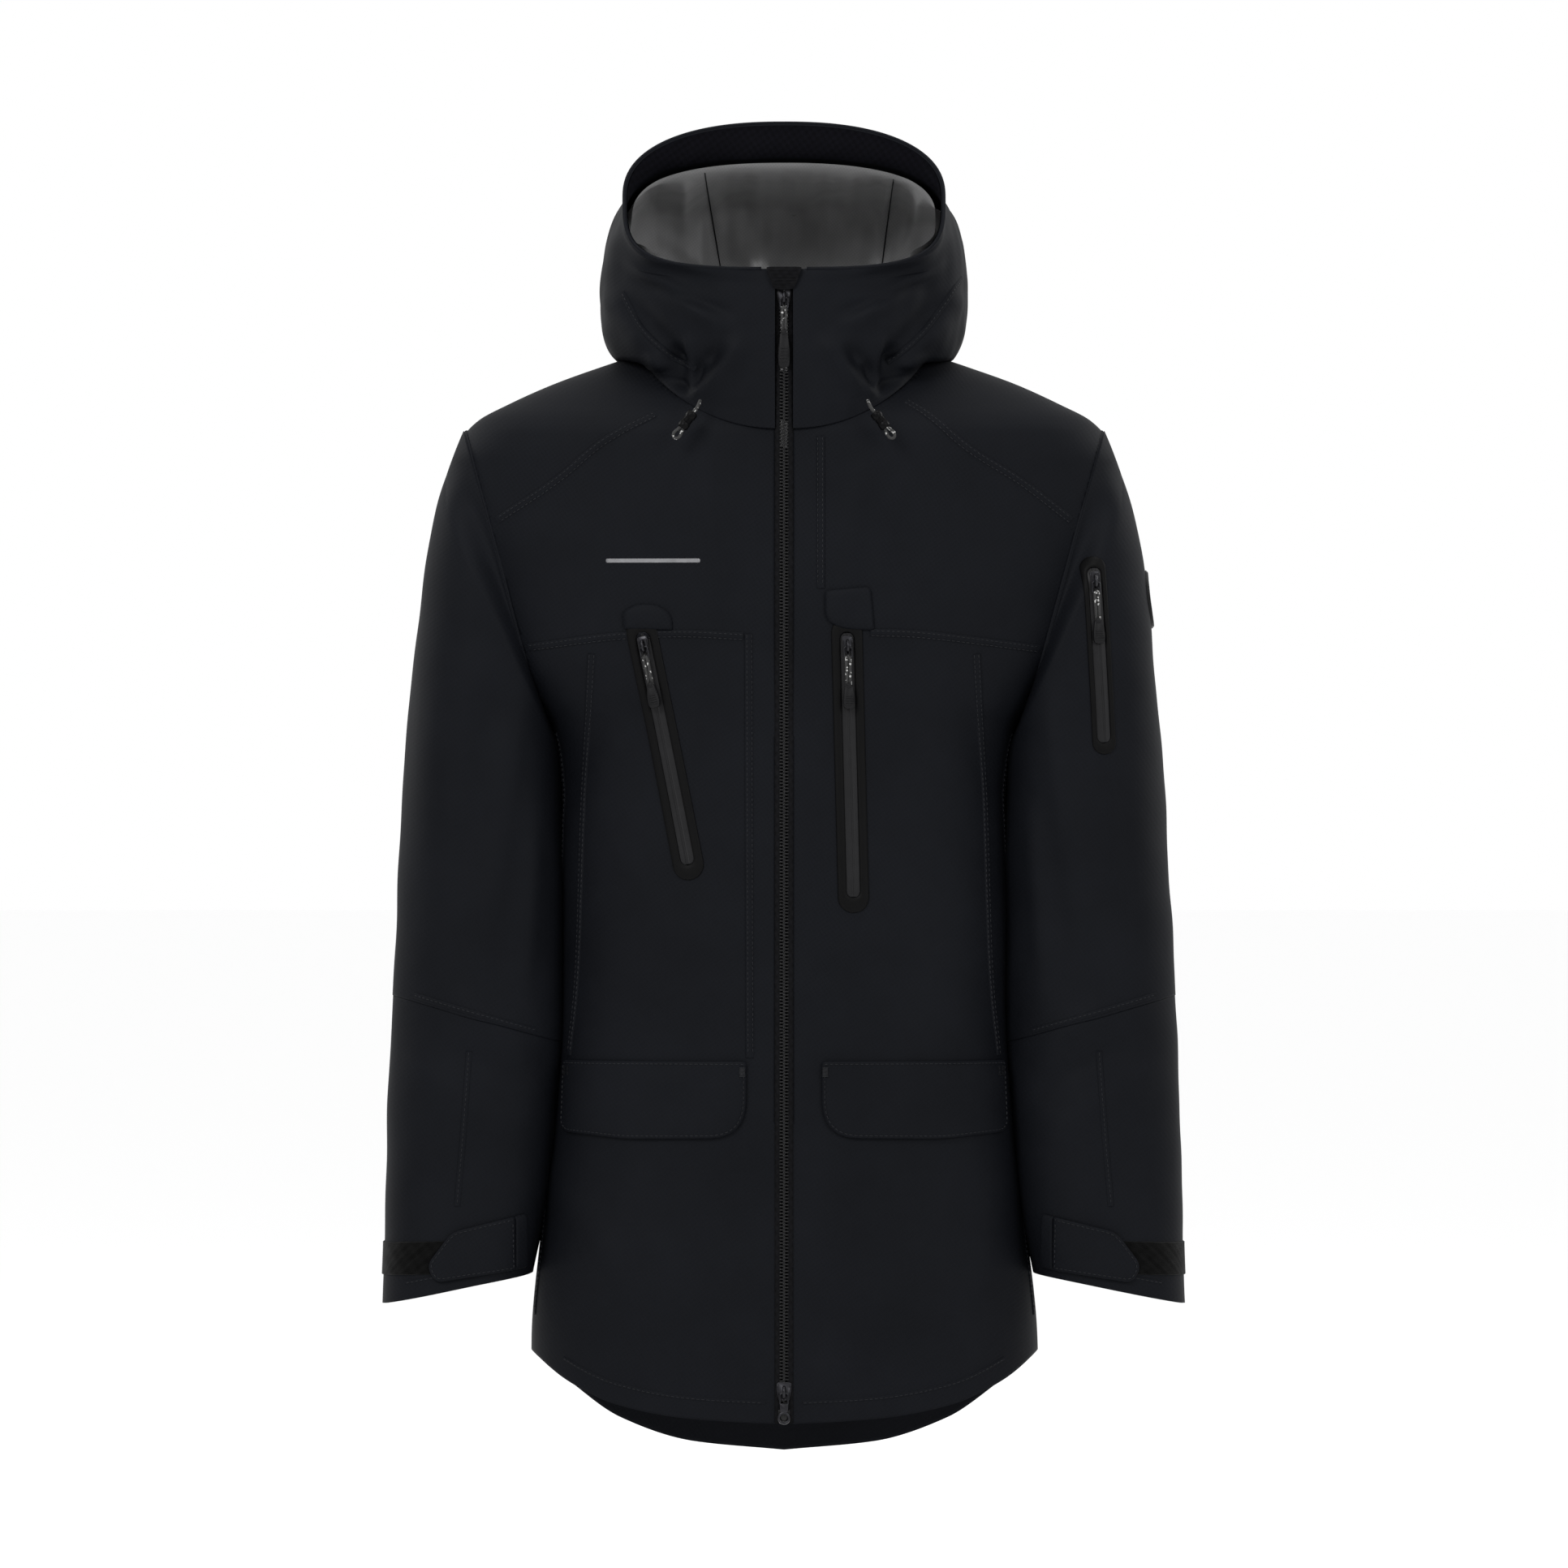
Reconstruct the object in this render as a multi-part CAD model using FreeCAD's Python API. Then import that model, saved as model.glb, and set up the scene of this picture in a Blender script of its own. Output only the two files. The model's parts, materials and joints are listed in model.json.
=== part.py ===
import FreeCAD, Part
import math
import os

# A long hooded ski jacket, zipped up and filled out as when worn.
# Millimetres. Origin at the hang loop, on the centre line of the back neck seam. +Z is up,
# the front faces -Y, and the wearer's left side is +X. Every fabric wall is a closed shell.

V = FreeCAD.Vector
os.makedirs("parts", exist_ok=True)

# ---- driving dimensions ----
WALL = 3.5              # outer fabric with its insulation
CLEAR = 0.5             # gap between neighbouring bodies
SEAM = 0.2              # gap between two panels of one body
LINING_DEPTH = 10.0     # the lining hangs this far inside the outer surface
LINING_WALL = 2.0
BAG_DEPTH = 5.5         # pocket bags lie between the shell and the lining
BAG_WALL = 2.5

FRONT_TOP_Y = -173.0    # the front edge of the collar, where the zip ends
ZIP_TOP_Z = 75.0
ZIP_BOTTOM_Z = -794.0
FRONT_SLOPE = 0.045     # the straight centre front leans out this much per mm going down
CHANNEL_HALF = 12.0     # half of the zip's channel
HEM_FRONT_Z = -795.0
HEM_BACK_Z = -815.0
HEM_SIDE_Z = -750.0

YOKE_Z = -195.0         # seam under the chest yoke
BACK_YOKE_Z = -150.0
SIDE_FRONT_Y = -112.0   # front and back edges of the side panels
SIDE_BACK_Y = -48.0

ARMHOLE_TOP = (249.0, -22.0)      # X and Z of the armhole plane's two ends
ARMHOLE_BOTTOM = (184.0, -262.0)
ELBOW_Z = -486.0
ELBOW_FRONT_Y = -164.0
CUFF_OUTER_Z = -705.0
CUFF_INNER_Z = -684.0

NECK_HALF = 104.0       # the collar's base
NECK_BACK_Y = 8.0
HOOD_AXIS_Y = 58.0      # the hood folds back about this line behind the nape
HOOD_AXIS_Z = 30.0
CHIN_Y = -178.0
CHIN_Z = 86.0
BRIM_Y = -118.0
BRIM_Z = 198.0
BRIM_DEPTH = 30.0
CROWN_HALF = 58.0       # half width of the hood's centre panel

POWER = 2.6             # squareness of the body's cross-sections

# Torso sections: height, half width, back Y. The front Y follows the centre front line.
TORSO = [(-840.0, 196.0, 42.0), (-735.0, 195.0, 42.0), (-639.0, 185.0, 38.0),
         (-546.0, 176.0, 30.0), (-465.0, 171.0, 24.0), (-391.0, 171.5, 26.0),
         (-329.0, 171.0, 30.0), (-290.0, 174.0, 32.0), (-262.0, 182.0, 33.0), (-240.0, 200.0, 33.0),
         (-205.0, 228.0, 33.0), (-150.0, 248.0, 32.0), (-100.0, 258.0, 29.0),
         (-60.0, 262.0, 25.0), (-31.0, 250.0, 21.0)]
# Above the chest the front leaves the centre line and closes over the shoulders.
SHOULDER = [(-15.0, 218.0, 18.0, -160.0), (0.0, 180.0, 14.0, -142.0),
            (12.0, 148.0, 10.0, -128.0), (22.0, 118.0, 0.0, -112.0), (28.0, 92.0, -10.0, -98.0)]
# Collar sections: height, half width, back Y, front Y.
COLLAR = [(-48.0, 103.4, 7.4, -173.0), (-5.0, 103.4, 7.4, -173.0), (22.0, 110.0, 14.0, -173.5),
          (34.0, 132.0, 40.0, -174.0), (50.0, 140.5, 56.0, -174.5), (75.0, 141.5, 58.0, -175.5),
          (110.0, 141.5, 58.0, -176.5)]
# Hood sections above its base plane: height, half width, near edge and far edge along the plane.
HOOD = [(-25.0, 141.5, 2.0, 262.0), (0.0, 141.5, 2.0, 264.0), (45.0, 139.0, -2.0, 270.0),
        (80.0, 128.0, 2.0, 276.0), (103.0, 106.0, 22.0, 280.0), (118.0, 72.0, 45.0, 280.0),
        (126.0, 36.0, 75.0, 276.0)]
# Sleeve sections: inner X and Z, outer X and Z, front Y, back Y.
SLEEVE = [(184.5, -262.0, 249.5, -22.0, -158.0, -2.0), (181.0, -285.0, 268.0, -98.0, -159.0, -3.0),
          (177.0, -322.0, 283.0, -190.0, -160.0, -6.0), (177.0, -385.0, 292.0, -300.0, -160.0, -12.0),
          (177.0, -462.0, 297.0, -456.0, -161.0, -20.0), (182.0, -546.0, 302.0, -546.0, -164.0, -28.0),
          (191.5, -639.0, 304.0, -639.0, -168.0, -40.0), (203.0, -730.0, 307.0, -730.0, -172.0, -50.0)]


# ---- geometry helpers ----
def front_y(z):
    """Y of the straight centre front line at a height."""
    return FRONT_TOP_Y - FRONT_SLOPE * (ZIP_TOP_Z - z)


def oval(centre, along, across, half_along, half_across, count=24):
    """A closed superellipse as a periodic spline wire."""
    points = []
    for i in range(count):
        turn = 2.0 * math.pi * i / count
        c, s = math.cos(turn), math.sin(turn)
        u = half_along * math.copysign(abs(c) ** (2.0 / POWER), c)
        v = half_across * math.copysign(abs(s) ** (2.0 / POWER), s)
        points.append(centre + along * u + across * v)
    curve = Part.BSplineCurve()
    curve.interpolate(Points=points, PeriodicFlag=True)
    return Part.Wire([curve.toShape()])


def level_oval(z, half, back, front):
    """A horizontal section centred on X."""
    centre = V(0, (front + back) / 2.0, z)
    return oval(centre, V(1, 0, 0), V(0, 1, 0), half, (back - front) / 2.0)


def torso_solid(grow):
    """The body from below the hem to over the shoulders, moved out by grow."""
    wires = [level_oval(z, half + grow, back + grow, front_y(z) - grow) for z, half, back in TORSO]
    for z, half, back, front in SHOULDER:
        wires.append(level_oval(z + grow, half + grow, back + grow, front - grow))
    return Part.makeLoft(wires, True, True)


def collar_solid(grow):
    """The neck and the bowl round the chin. An inner one runs past the outer one's ends."""
    wires = []
    reach = 6.0 if grow < 0 else 0.0
    for z, half, back, front in COLLAR:
        if z == COLLAR[0][0]:
            z -= reach
        if z == COLLAR[-1][0]:
            z += reach
        wires.append(level_oval(z, half + grow, back + grow, front - grow))
    return Part.makeLoft(wires, True, True)


HOOD_PIVOT = V(0, HOOD_AXIS_Y, HOOD_AXIS_Z)
HOOD_ALONG = V(0, CHIN_Y - HOOD_AXIS_Y, CHIN_Z - HOOD_AXIS_Z).normalize()
HOOD_UP = V(0, -HOOD_ALONG.z, HOOD_ALONG.y) * -1.0


def hood_solid(grow):
    """The hood's bowl on its tilted base plane, from the nape forward past the face."""
    wires = []
    for height, half, near, far in HOOD:
        lift = height + (grow if height > 0 else 0.0)
        centre = HOOD_PIVOT + HOOD_ALONG * ((near + far) / 2.0) + HOOD_UP * lift
        wires.append(oval(centre, V(1, 0, 0), HOOD_ALONG, half + grow, (far - near) / 2.0 + grow))
    return Part.makeLoft(wires, True, True)


def sleeve_solid(side, grow):
    """One sleeve from the armhole plane to below the cuff."""
    wires = []
    for inner_x, inner_z, outer_x, outer_z, front, back in SLEEVE:
        inner, outer = V(inner_x, 0, inner_z), V(outer_x, 0, outer_z)
        along = (outer - inner).normalize()
        middle = (inner + outer) * 0.5
        centre = V(middle.x * side, (front + back) / 2.0, middle.z)
        half = inner.distanceToPoint(outer) / 2.0 + grow
        deep = (back - front) / 2.0 + grow
        wires.append(oval(centre, V(along.x * side, 0, along.z), V(0, 1, 0), half, deep))
    pieces = [Part.makeLoft(list(pair), True, True) for pair in zip(wires, wires[1:])]
    return pieces[0].fuse(pieces[1:]).removeSplitter()


def box(x0, x1, y0, y1, z0, z1):
    """A box, half a seam smaller on every side."""
    gap = SEAM / 2.0
    return Part.makeBox(x1 - x0 - SEAM, y1 - y0 - SEAM, z1 - z0 - SEAM, V(x0 + gap, y0 + gap, z0 + gap))


def prism_y(points, y0, y1):
    """A polygon given as X and Z pairs, carried along Y."""
    corners = [V(x, y0, z) for x, z in points]
    return Part.Face(Part.makePolygon(corners + corners[:1])).extrude(V(0, y1 - y0, 0))


def prism_x(points, x0, x1):
    """A polygon given as Y and Z pairs, carried along X."""
    corners = [V(x0, y, z) for y, z in points]
    return Part.Face(Part.makePolygon(corners + corners[:1])).extrude(V(x1 - x0, 0, 0))


def above_curve(points, y0, y1):
    """Everything above a smooth line of X and Z pairs, carried along Y."""
    curve = Part.BSplineCurve()
    curve.interpolate(Points=[V(x, y0, z) for x, z in points])
    first, last = points[0], points[-1]
    frame = Part.makePolygon([V(last[0], y0, last[1]), V(last[0], y0, 400), V(first[0], y0, 400),
                              V(first[0], y0, first[1])])
    return Part.Face(Part.Wire([curve.toShape()] + frame.Edges)).extrude(V(0, y1 - y0, 0))


def mirrored(points):
    """A half outline from the side to the centre line, and its mirror image back out."""
    return [(-x, z) for x, z in points] + [(x, z) for x, z in reversed(points[:-1])]


def largest(shape):
    """The largest solid of a cut, without its slivers."""
    return max(shape.Solids, key=lambda solid: solid.Volume)


NODES = {}


SIDES = (("right", -1), ("left", 1))
FAR = 500.0

# ---- the body's shell ----
HEM_FRONT = mirrored([(230.0, -715.0), (187.0, -752.0), (133.0, -783.0), (0.0, HEM_FRONT_Z)])
HEM_BACK = mirrored([(230.0, -715.0), (180.0, -760.0), (127.0, -788.0), (71.0, -808.0), (0.0, HEM_BACK_Z)])
MID_Y = (SIDE_FRONT_Y + SIDE_BACK_Y) / 2.0
armhole_run = V(ARMHOLE_BOTTOM[0] - ARMHOLE_TOP[0], 0, ARMHOLE_BOTTOM[1] - ARMHOLE_TOP[1]).normalize()


def outside_armhole(side, shift):
    """The space beyond the armhole plane, with the plane moved inward by shift."""
    top = V(ARMHOLE_TOP[0] - shift, 0, ARMHOLE_TOP[1]) - armhole_run * 80.0
    bottom = V(ARMHOLE_BOTTOM[0] - shift, 0, ARMHOLE_BOTTOM[1])
    return prism_y([(side * top.x, top.z), (side * bottom.x, bottom.z), (side * FAR, bottom.z),
                    (side * FAR, top.z)], -FAR, FAR)


def above_hem():
    front = above_curve(HEM_FRONT, -FAR, MID_Y)
    return front, above_curve(HEM_BACK, MID_Y, FAR)


def neck_hole(grow):
    return level_oval(-46.0, NECK_HALF + grow, NECK_BACK_Y + grow, -174.0 - grow)


def fitted(solid):
    """A body layer with its armholes and neck opened, clear of the collar."""
    for _, side in SIDES:
        solid = solid.cut(outside_armhole(side, CLEAR))
    solid = solid.cut(Part.Face(neck_hole(0.0)).extrude(V(0, 0, 120)))
    return solid.cut(collar_solid(CLEAR))


outer_body = torso_solid(0.0)
shell = fitted(outer_body.cut(torso_solid(-WALL)))
channel = box(-CHANNEL_HALF, CHANNEL_HALF, -FAR, MID_Y, -FAR * 2, FAR)
front_hem, back_hem = above_hem()
front_shell = shell.common(front_hem).cut(channel)
back_shell = shell.common(back_hem)


def region_front(x0, x1, z0, z1):
    """The front of the body between two heights, up to the side panels below the armpit."""
    armpit = ARMHOLE_BOTTOM[1]
    upper = box(x0, x1, -FAR, MID_Y, max(z0, armpit), z1)
    if z0 >= armpit:
        return upper
    return upper.fuse(box(x0, x1, -FAR, SIDE_FRONT_Y, z0, armpit + SEAM)).removeSplitter()


def yoke_wedge(side):
    """The shoulder yoke lies above a line that falls from the neck to the armhole."""
    inner, outer = (60.0, -5.6), (300.0, -151.0)
    return prism_y([(side * inner[0], inner[1]), (side * outer[0], outer[1]), (side * outer[0], 100.0),
                    (side * inner[0], 100.0)], -FAR, FAR)


def layer(depth, wall):
    """A sheet of the body that lies at a depth under its outer surface."""
    return torso_solid(-depth).cut(torso_solid(-depth - wall))


def both_sides_of(x0, x1, side):
    return sorted((side * x0, side * x1))


FLOOR, ARMPIT = -2.0 * FAR, ARMHOLE_BOTTOM[1]
LEFT_WEDGE, RIGHT_WEDGE = yoke_wedge(1), yoke_wedge(-1)
for name, side in SIDES:
    x0, x1 = both_sides_of(CHANNEL_HALF, FAR, side)
    wedge = LEFT_WEDGE if side > 0 else RIGHT_WEDGE
    half_front = front_shell.common(box(x0, x1, -FAR, FAR, FLOOR, FAR))
    chest = box(x0, x1, -FAR, MID_Y, YOKE_Z, FAR)
    NODES["shoulder_yoke_" + name] = largest(shell.common(wedge))
    NODES["chest_yoke_" + name] = largest(half_front.common(chest).cut(wedge))
    NODES["front_panel_" + name] = largest(half_front.common(region_front(x0, x1, FLOOR, YOKE_Z)))
    flank = shell.common(box(x0, x1, SIDE_FRONT_Y + SEAM, SIDE_BACK_Y - SEAM, HEM_SIDE_Z,
                             ARMPIT - 4.0 * SEAM))
    NODES["side_panel_" + name] = largest(flank)
lower_back = box(-FAR, FAR, SIDE_BACK_Y, FAR, FLOOR, ARMPIT)
upper_back = box(-FAR, FAR, MID_Y, FAR, ARMPIT - 2.0 * SEAM, BACK_YOKE_Z)
back = lower_back.fuse(upper_back).removeSplitter()
NODES["back_panel"] = largest(back_shell.common(back))
yoke = back_shell.common(box(-FAR, FAR, MID_Y, FAR, BACK_YOKE_Z, FAR))
NODES["back_yoke"] = largest(yoke.cut(LEFT_WEDGE).cut(RIGHT_WEDGE))

# ---- lining, storm flap and pocket bags, all inside the shell ----
LINING_END_Z = -715.0
STORM_HALF = 20.0
lining = fitted(layer(LINING_DEPTH, LINING_WALL)).cut(box(-22, 22, -FAR, MID_Y, FLOOR, FAR))
NODES["body_lining"] = largest(lining.common(box(-FAR, FAR, -FAR, FAR, LINING_END_Z, 20.0)))
bag_layer = layer(BAG_DEPTH, BAG_WALL)
NODES["storm_flap"] = largest(bag_layer.common(box(-STORM_HALF, STORM_HALF, -FAR, MID_Y, -785.0, -50.0)))
for name, side in SIDES:
    x0, x1 = both_sides_of(STORM_HALF + 4.0, 140.0, side)
    NODES["chest_pocket_bag_" + name] = largest(bag_layer.common(box(x0, x1, -FAR, MID_Y, -420.0, -170.0)))
    NODES["hand_pocket_bag_" + name] = largest(bag_layer.common(box(x0, x1, -FAR, MID_Y, -700.0, -505.0)))

# ---- collar and hood ----
BEHIND, AHEAD = HOOD_PIVOT - HOOD_ALONG * 80.0, HOOD_PIVOT + HOOD_ALONG * 400.0


def over_hood_plane(lift):
    """The space over the plane that parts the hood from the collar, moved up by lift."""
    low, high = BEHIND + HOOD_UP * lift, AHEAD + HOOD_UP * lift
    return prism_x([(low.y, low.z), (high.y, high.z), (high.y, FAR), (low.y, FAR)], -FAR, FAR)


def behind_face(depth):
    """The space behind the face opening's plane, moved back by depth."""
    run = V(0, BRIM_Y - CHIN_Y, BRIM_Z - CHIN_Z).normalize()
    low = V(0, CHIN_Y + depth, CHIN_Z) - run * 150.0
    high = V(0, BRIM_Y + depth, BRIM_Z) + run * 150.0
    return prism_x([(low.y, low.z), (high.y, high.z), (FAR, high.z), (FAR, low.z)], -FAR, FAR)


collar = collar_solid(0.0).cut(collar_solid(-WALL)).cut(over_hood_plane(-CLEAR / 2.0)).cut(channel)
hood_shell = hood_solid(0.0).cut(hood_solid(-WALL)).common(over_hood_plane(CLEAR / 2.0))
brim_band = behind_face(0.0).cut(behind_face(BRIM_DEPTH - SEAM))
hood_rest = hood_shell.common(behind_face(BRIM_DEPTH))
NODES["hood_brim"] = largest(hood_shell.common(brim_band))
NODES["hood_crown"] = largest(hood_rest.common(box(-CROWN_HALF, CROWN_HALF, -FAR, FAR, -FAR, FAR)))
for name, side in SIDES:
    x0, x1 = both_sides_of(0.0, FAR, side)
    NODES["collar_" + name] = largest(collar.common(box(x0, x1, -FAR, FAR, -FAR, FAR)))
    x0, x1 = both_sides_of(CROWN_HALF, FAR, side)
    NODES["hood_side_" + name] = largest(hood_rest.common(box(x0, x1, -FAR, FAR, -FAR, FAR)))
hood_liner = hood_solid(-7.0).cut(hood_solid(-8.5)).common(over_hood_plane(1.0))
NODES["hood_lining"] = largest(hood_liner.common(behind_face(BRIM_DEPTH)))

# ---- sleeves and cuffs ----
CUFF_CUT = [(190.0, -681.5), (320.0, -708.0)]   # the cuff's hem falls to the outside
STRIP_Z = (-682.0, -657.0)
STRIP_FRONT_X = 250.0
TAB_Z = (-686.0, -640.0)
TAB_X = (206.0, 266.0)
LOOP_THICK = 1.2
TAB_GAP = 2.0
TAB_THICK = 1.8


def above_cuff(side):
    (x0, z0), (x1, z1) = CUFF_CUT
    low = z0 + (z1 - z0) * (100.0 - x0) / (x1 - x0)
    outline = [(side * 100.0, low), (side * x1, z1), (side * x1, 100.0), (side * 100.0, 100.0)]
    return prism_y(outline, -FAR, FAR)


def sleeve_band(side, grow, thick):
    """A skin that lies on the outside of a sleeve."""
    return sleeve_solid(side, grow + thick).cut(sleeve_solid(side, grow))


for name, side in SIDES:
    x0, x1 = both_sides_of(100.0, 400.0, side)
    tube = sleeve_solid(side, 0.0).cut(sleeve_solid(side, -WALL))
    elbow_gap = CLEAR / 2.0
    NODES["sleeve_" + name] = largest(tube.common(box(x0, x1, -FAR, FAR, ELBOW_Z + elbow_gap, FAR)))
    forearm = tube.common(box(x0, x1, -FAR, FAR, FLOOR, ELBOW_Z - elbow_gap))
    NODES["forearm_" + name] = largest(forearm.common(above_cuff(side)))
    x0, x1 = both_sides_of(STRIP_FRONT_X, 400.0, side)
    strip = sleeve_band(side, 0.1, LOOP_THICK)
    NODES["cuff_loop_strip_" + name] = largest(strip.common(box(x0, x1, -FAR, -70.0, *STRIP_Z)))
    x0, x1 = both_sides_of(*TAB_X, side)
    tab = sleeve_band(side, TAB_GAP, TAB_THICK)
    NODES["cuff_tab_" + name] = largest(tab.common(box(x0, x1, -FAR, -120.0, *TAB_Z)))

# ---- waist pocket flaps ----
FLAP_X = (30.0, 150.0)
FLAP_Z = (-578.0, -520.0)
FLAP_CORNER = 32.0
FLAP_GAP = 0.6
FLAP_THICK = 2.4
flap_layer = torso_solid(FLAP_GAP + FLAP_THICK).cut(torso_solid(FLAP_GAP))
for name, side in SIDES:
    x0, x1 = both_sides_of(*FLAP_X, side)
    flap = largest(flap_layer.common(box(x0, x1, -FAR, MID_Y, *FLAP_Z)))
    corner_x, corner_z = side * (FLAP_X[0] + FLAP_CORNER), FLAP_Z[0] + FLAP_CORNER
    x0, x1 = both_sides_of(0.0, FLAP_X[0] + FLAP_CORNER, side)
    outer_corner = box(x0, x1, -FAR, MID_Y, FLAP_Z[0] - 5, corner_z)
    round_part = Part.makeCylinder(FLAP_CORNER, 2 * FAR, V(corner_x, FAR, corner_z), V(0, -1, 0))
    NODES["hand_pocket_flap_" + name] = largest(flap.cut(outer_corner.cut(round_part)))

# ---- main zip on the straight centre front ----
TOOTH_HALF = 3.0
TAPE_HALF = 11.6
CHAIN_TOP_Z = 70.0
CHAIN_BOTTOM_Z = -781.0
DOWN = V(0, -FRONT_SLOPE, -1.0).normalize()


def front_bar(x0, x1, out0, out1, z0, z1):
    """A bar along the centre front. Out is the distance in front of the centre line."""
    return prism_x([(front_y(z1) - out0, z1), (front_y(z0) - out0, z0), (front_y(z0) - out1, z0),
                    (front_y(z1) - out1, z1)], x0, x1)


for name, side in SIDES:
    x0, x1 = both_sides_of(TOOTH_HALF + 0.1, TAPE_HALF, side)
    NODES["zip_tape_" + name] = front_bar(x0, x1, -2.4, -1.2, ZIP_BOTTOM_Z, 82.0)
    x0, x1 = both_sides_of(0.05, TOOTH_HALF, side)
    NODES["zip_teeth_" + name] = front_bar(x0, x1, -3.0, -0.4, CHAIN_BOTTOM_Z, CHAIN_TOP_Z)
NODES["zip_retainer_box"] = front_bar(-5.0, 5.0, -1.1, 2.2, ZIP_BOTTOM_Z, CHAIN_BOTTOM_Z - 0.5)
guard_outline = [(-8.0, 70.0), (8.0, 70.0), (14.5, 87.0), (-14.5, 87.0)]
guard_hollow = [(-6.4, 60.0), (6.8, 60.0), (11.0, 84.5), (-11.0, 84.5)]
guard = prism_y(guard_outline, FRONT_TOP_Y - 8.0, FRONT_TOP_Y - 1.0)
guard = guard.cut(prism_y(guard_hollow, FRONT_TOP_Y - 6.4, FRONT_TOP_Y))
NODES["chin_guard"] = largest(guard.cut(collar_solid(CLEAR)))


# ---- sliders and pulls, each built in its own frame ----
# Local X is across the zip, towards the wearer's right, local Y points out of the fabric and
# local Z up along the zip.
def local_frame(top, down, across):
    """A matrix that carries local coordinates to a zip whose slider's head is at top."""
    up = down * -1.0
    side_axis = (up * across.dot(up) - across).normalize()
    out = up.cross(side_axis)
    return FreeCAD.Matrix(side_axis.x, out.x, up.x, top.x, side_axis.y, out.y, up.y, top.y,
                          side_axis.z, out.z, up.z, top.z, 0, 0, 0, 1)


def local_box(x0, x1, y0, y1, z0, z1):
    return Part.makeBox(x1 - x0, y1 - y0, z1 - z0, V(x0, y0, z0))


BRIDGE_OUT = 4.3        # height of the pull's pivot over the fabric
BRIDGE_Z = -8.5         # the pivot's place along the slider
WIRE_HALF = 0.6         # half the thickness of a pull's wire ring


def slider_shape(half, length):
    """A slider's front plate with its side rims, and the bridge that holds the pull."""
    plan = [V(-half, 0, 0), V(half, 0, 0), V(half * 0.72, 0, -length), V(-half * 0.72, 0, -length)]
    plate = Part.Face(Part.makePolygon(plan + plan[:1])).extrude(V(0, 2.0, 0))
    plate.translate(V(0, 0.3, 0))
    post_high = local_box(-1.3, 1.3, 2.0, 6.6, -5.6, -3.4)
    post_low = local_box(-1.3, 1.3, 2.0, 6.6, -12.0, -10.6)
    beam = local_box(-1.3, 1.3, 5.5, 6.6, -12.0, -3.4)
    return plate.fuse([post_high, post_low, beam]).removeSplitter()


def ring_shape(half, drop, wire):
    """A square-section wire ring through the bridge, hanging from its top bar."""
    wide, out0, out1 = half + wire, BRIDGE_OUT - wire, BRIDGE_OUT + wire
    outer = local_box(-wide, wide, out0, out1, BRIDGE_Z - drop - wire, BRIDGE_Z + wire)
    inner_half = half - wire
    gap = local_box(-inner_half, inner_half, out0 - 1, out1 + 1, BRIDGE_Z - drop + wire, BRIDGE_Z - wire)
    return outer.cut(gap)


def cord_pull(cord, tab):
    """Ring, a doubled cord and a moulded rubber tab, hanging in one line."""
    ring = ring_shape(3.0, 8.0, WIRE_HALF)
    z = BRIDGE_Z - 8.0 - 1.2
    strand = Part.makeCylinder(1.5, cord, V(0, BRIDGE_OUT, z), V(0, 0, -1))
    z -= cord + 0.2
    outline = [V(-2.6, 0, z), V(2.6, 0, z), V(4.6, 0, z - tab * 0.72), V(3.6, 0, z - tab),
               V(-3.6, 0, z - tab), V(-4.6, 0, z - tab * 0.72)]
    rubber = Part.Face(Part.makePolygon(outline + outline[:1])).extrude(V(0, 3.4, 0))
    rubber.translate(V(0, BRIDGE_OUT - 1.7, 0))
    return Part.makeCompound([ring, strand, rubber])


def metal_pull(drop):
    """A flat metal pull with a round eye at its end."""
    ring = ring_shape(3.0, drop * 0.45, WIRE_HALF)
    eye = Part.makeCylinder(5.2, 1.8, V(0, BRIDGE_OUT - 0.9, BRIDGE_Z - drop), V(0, 1, 0))
    eye = eye.cut(Part.makeCylinder(2.9, 4.0, V(0, BRIDGE_OUT - 2.0, BRIDGE_Z - drop), V(0, 1, 0)))
    low, high = BRIDGE_Z - drop + 4.2, BRIDGE_Z - drop * 0.45
    neck = local_box(-3.4, 3.4, BRIDGE_OUT - 0.8, BRIDGE_OUT + 0.8, low, high)
    return ring.fuse([eye, neck]).removeSplitter()


def placed(shape, matrix):
    moved = shape.copy()
    moved.Placement = FreeCAD.Placement(matrix)
    return moved


ACROSS = V(1, 0, 0)
UPPER_HEAD_Z = 72.0
LOWER_HEAD_Z = -763.0
SLIDER_LENGTH = 14.0


def chain_point(z):
    """A point on the front face of the main zip's teeth."""
    return V(0, front_y(z), z)


upper_frame = local_frame(chain_point(UPPER_HEAD_Z), DOWN, ACROSS)
lower_frame = local_frame(chain_point(LOWER_HEAD_Z), DOWN, ACROSS)
NODES["main_upper_slider"] = placed(slider_shape(5.6, SLIDER_LENGTH), upper_frame)
NODES["main_upper_pull"] = placed(cord_pull(17.0, 27.0), upper_frame)
NODES["main_lower_slider"] = placed(slider_shape(5.6, SLIDER_LENGTH), lower_frame)
NODES["main_lower_pull"] = placed(metal_pull(19.0), lower_frame)


# ---- welded pocket zips ----
TAPE_SLOT = 10.0
FRAME_DEEP = 3.0
SLIDER_LEAD = 2.8       # the closed slider's head stops this far below the slot's round end


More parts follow.
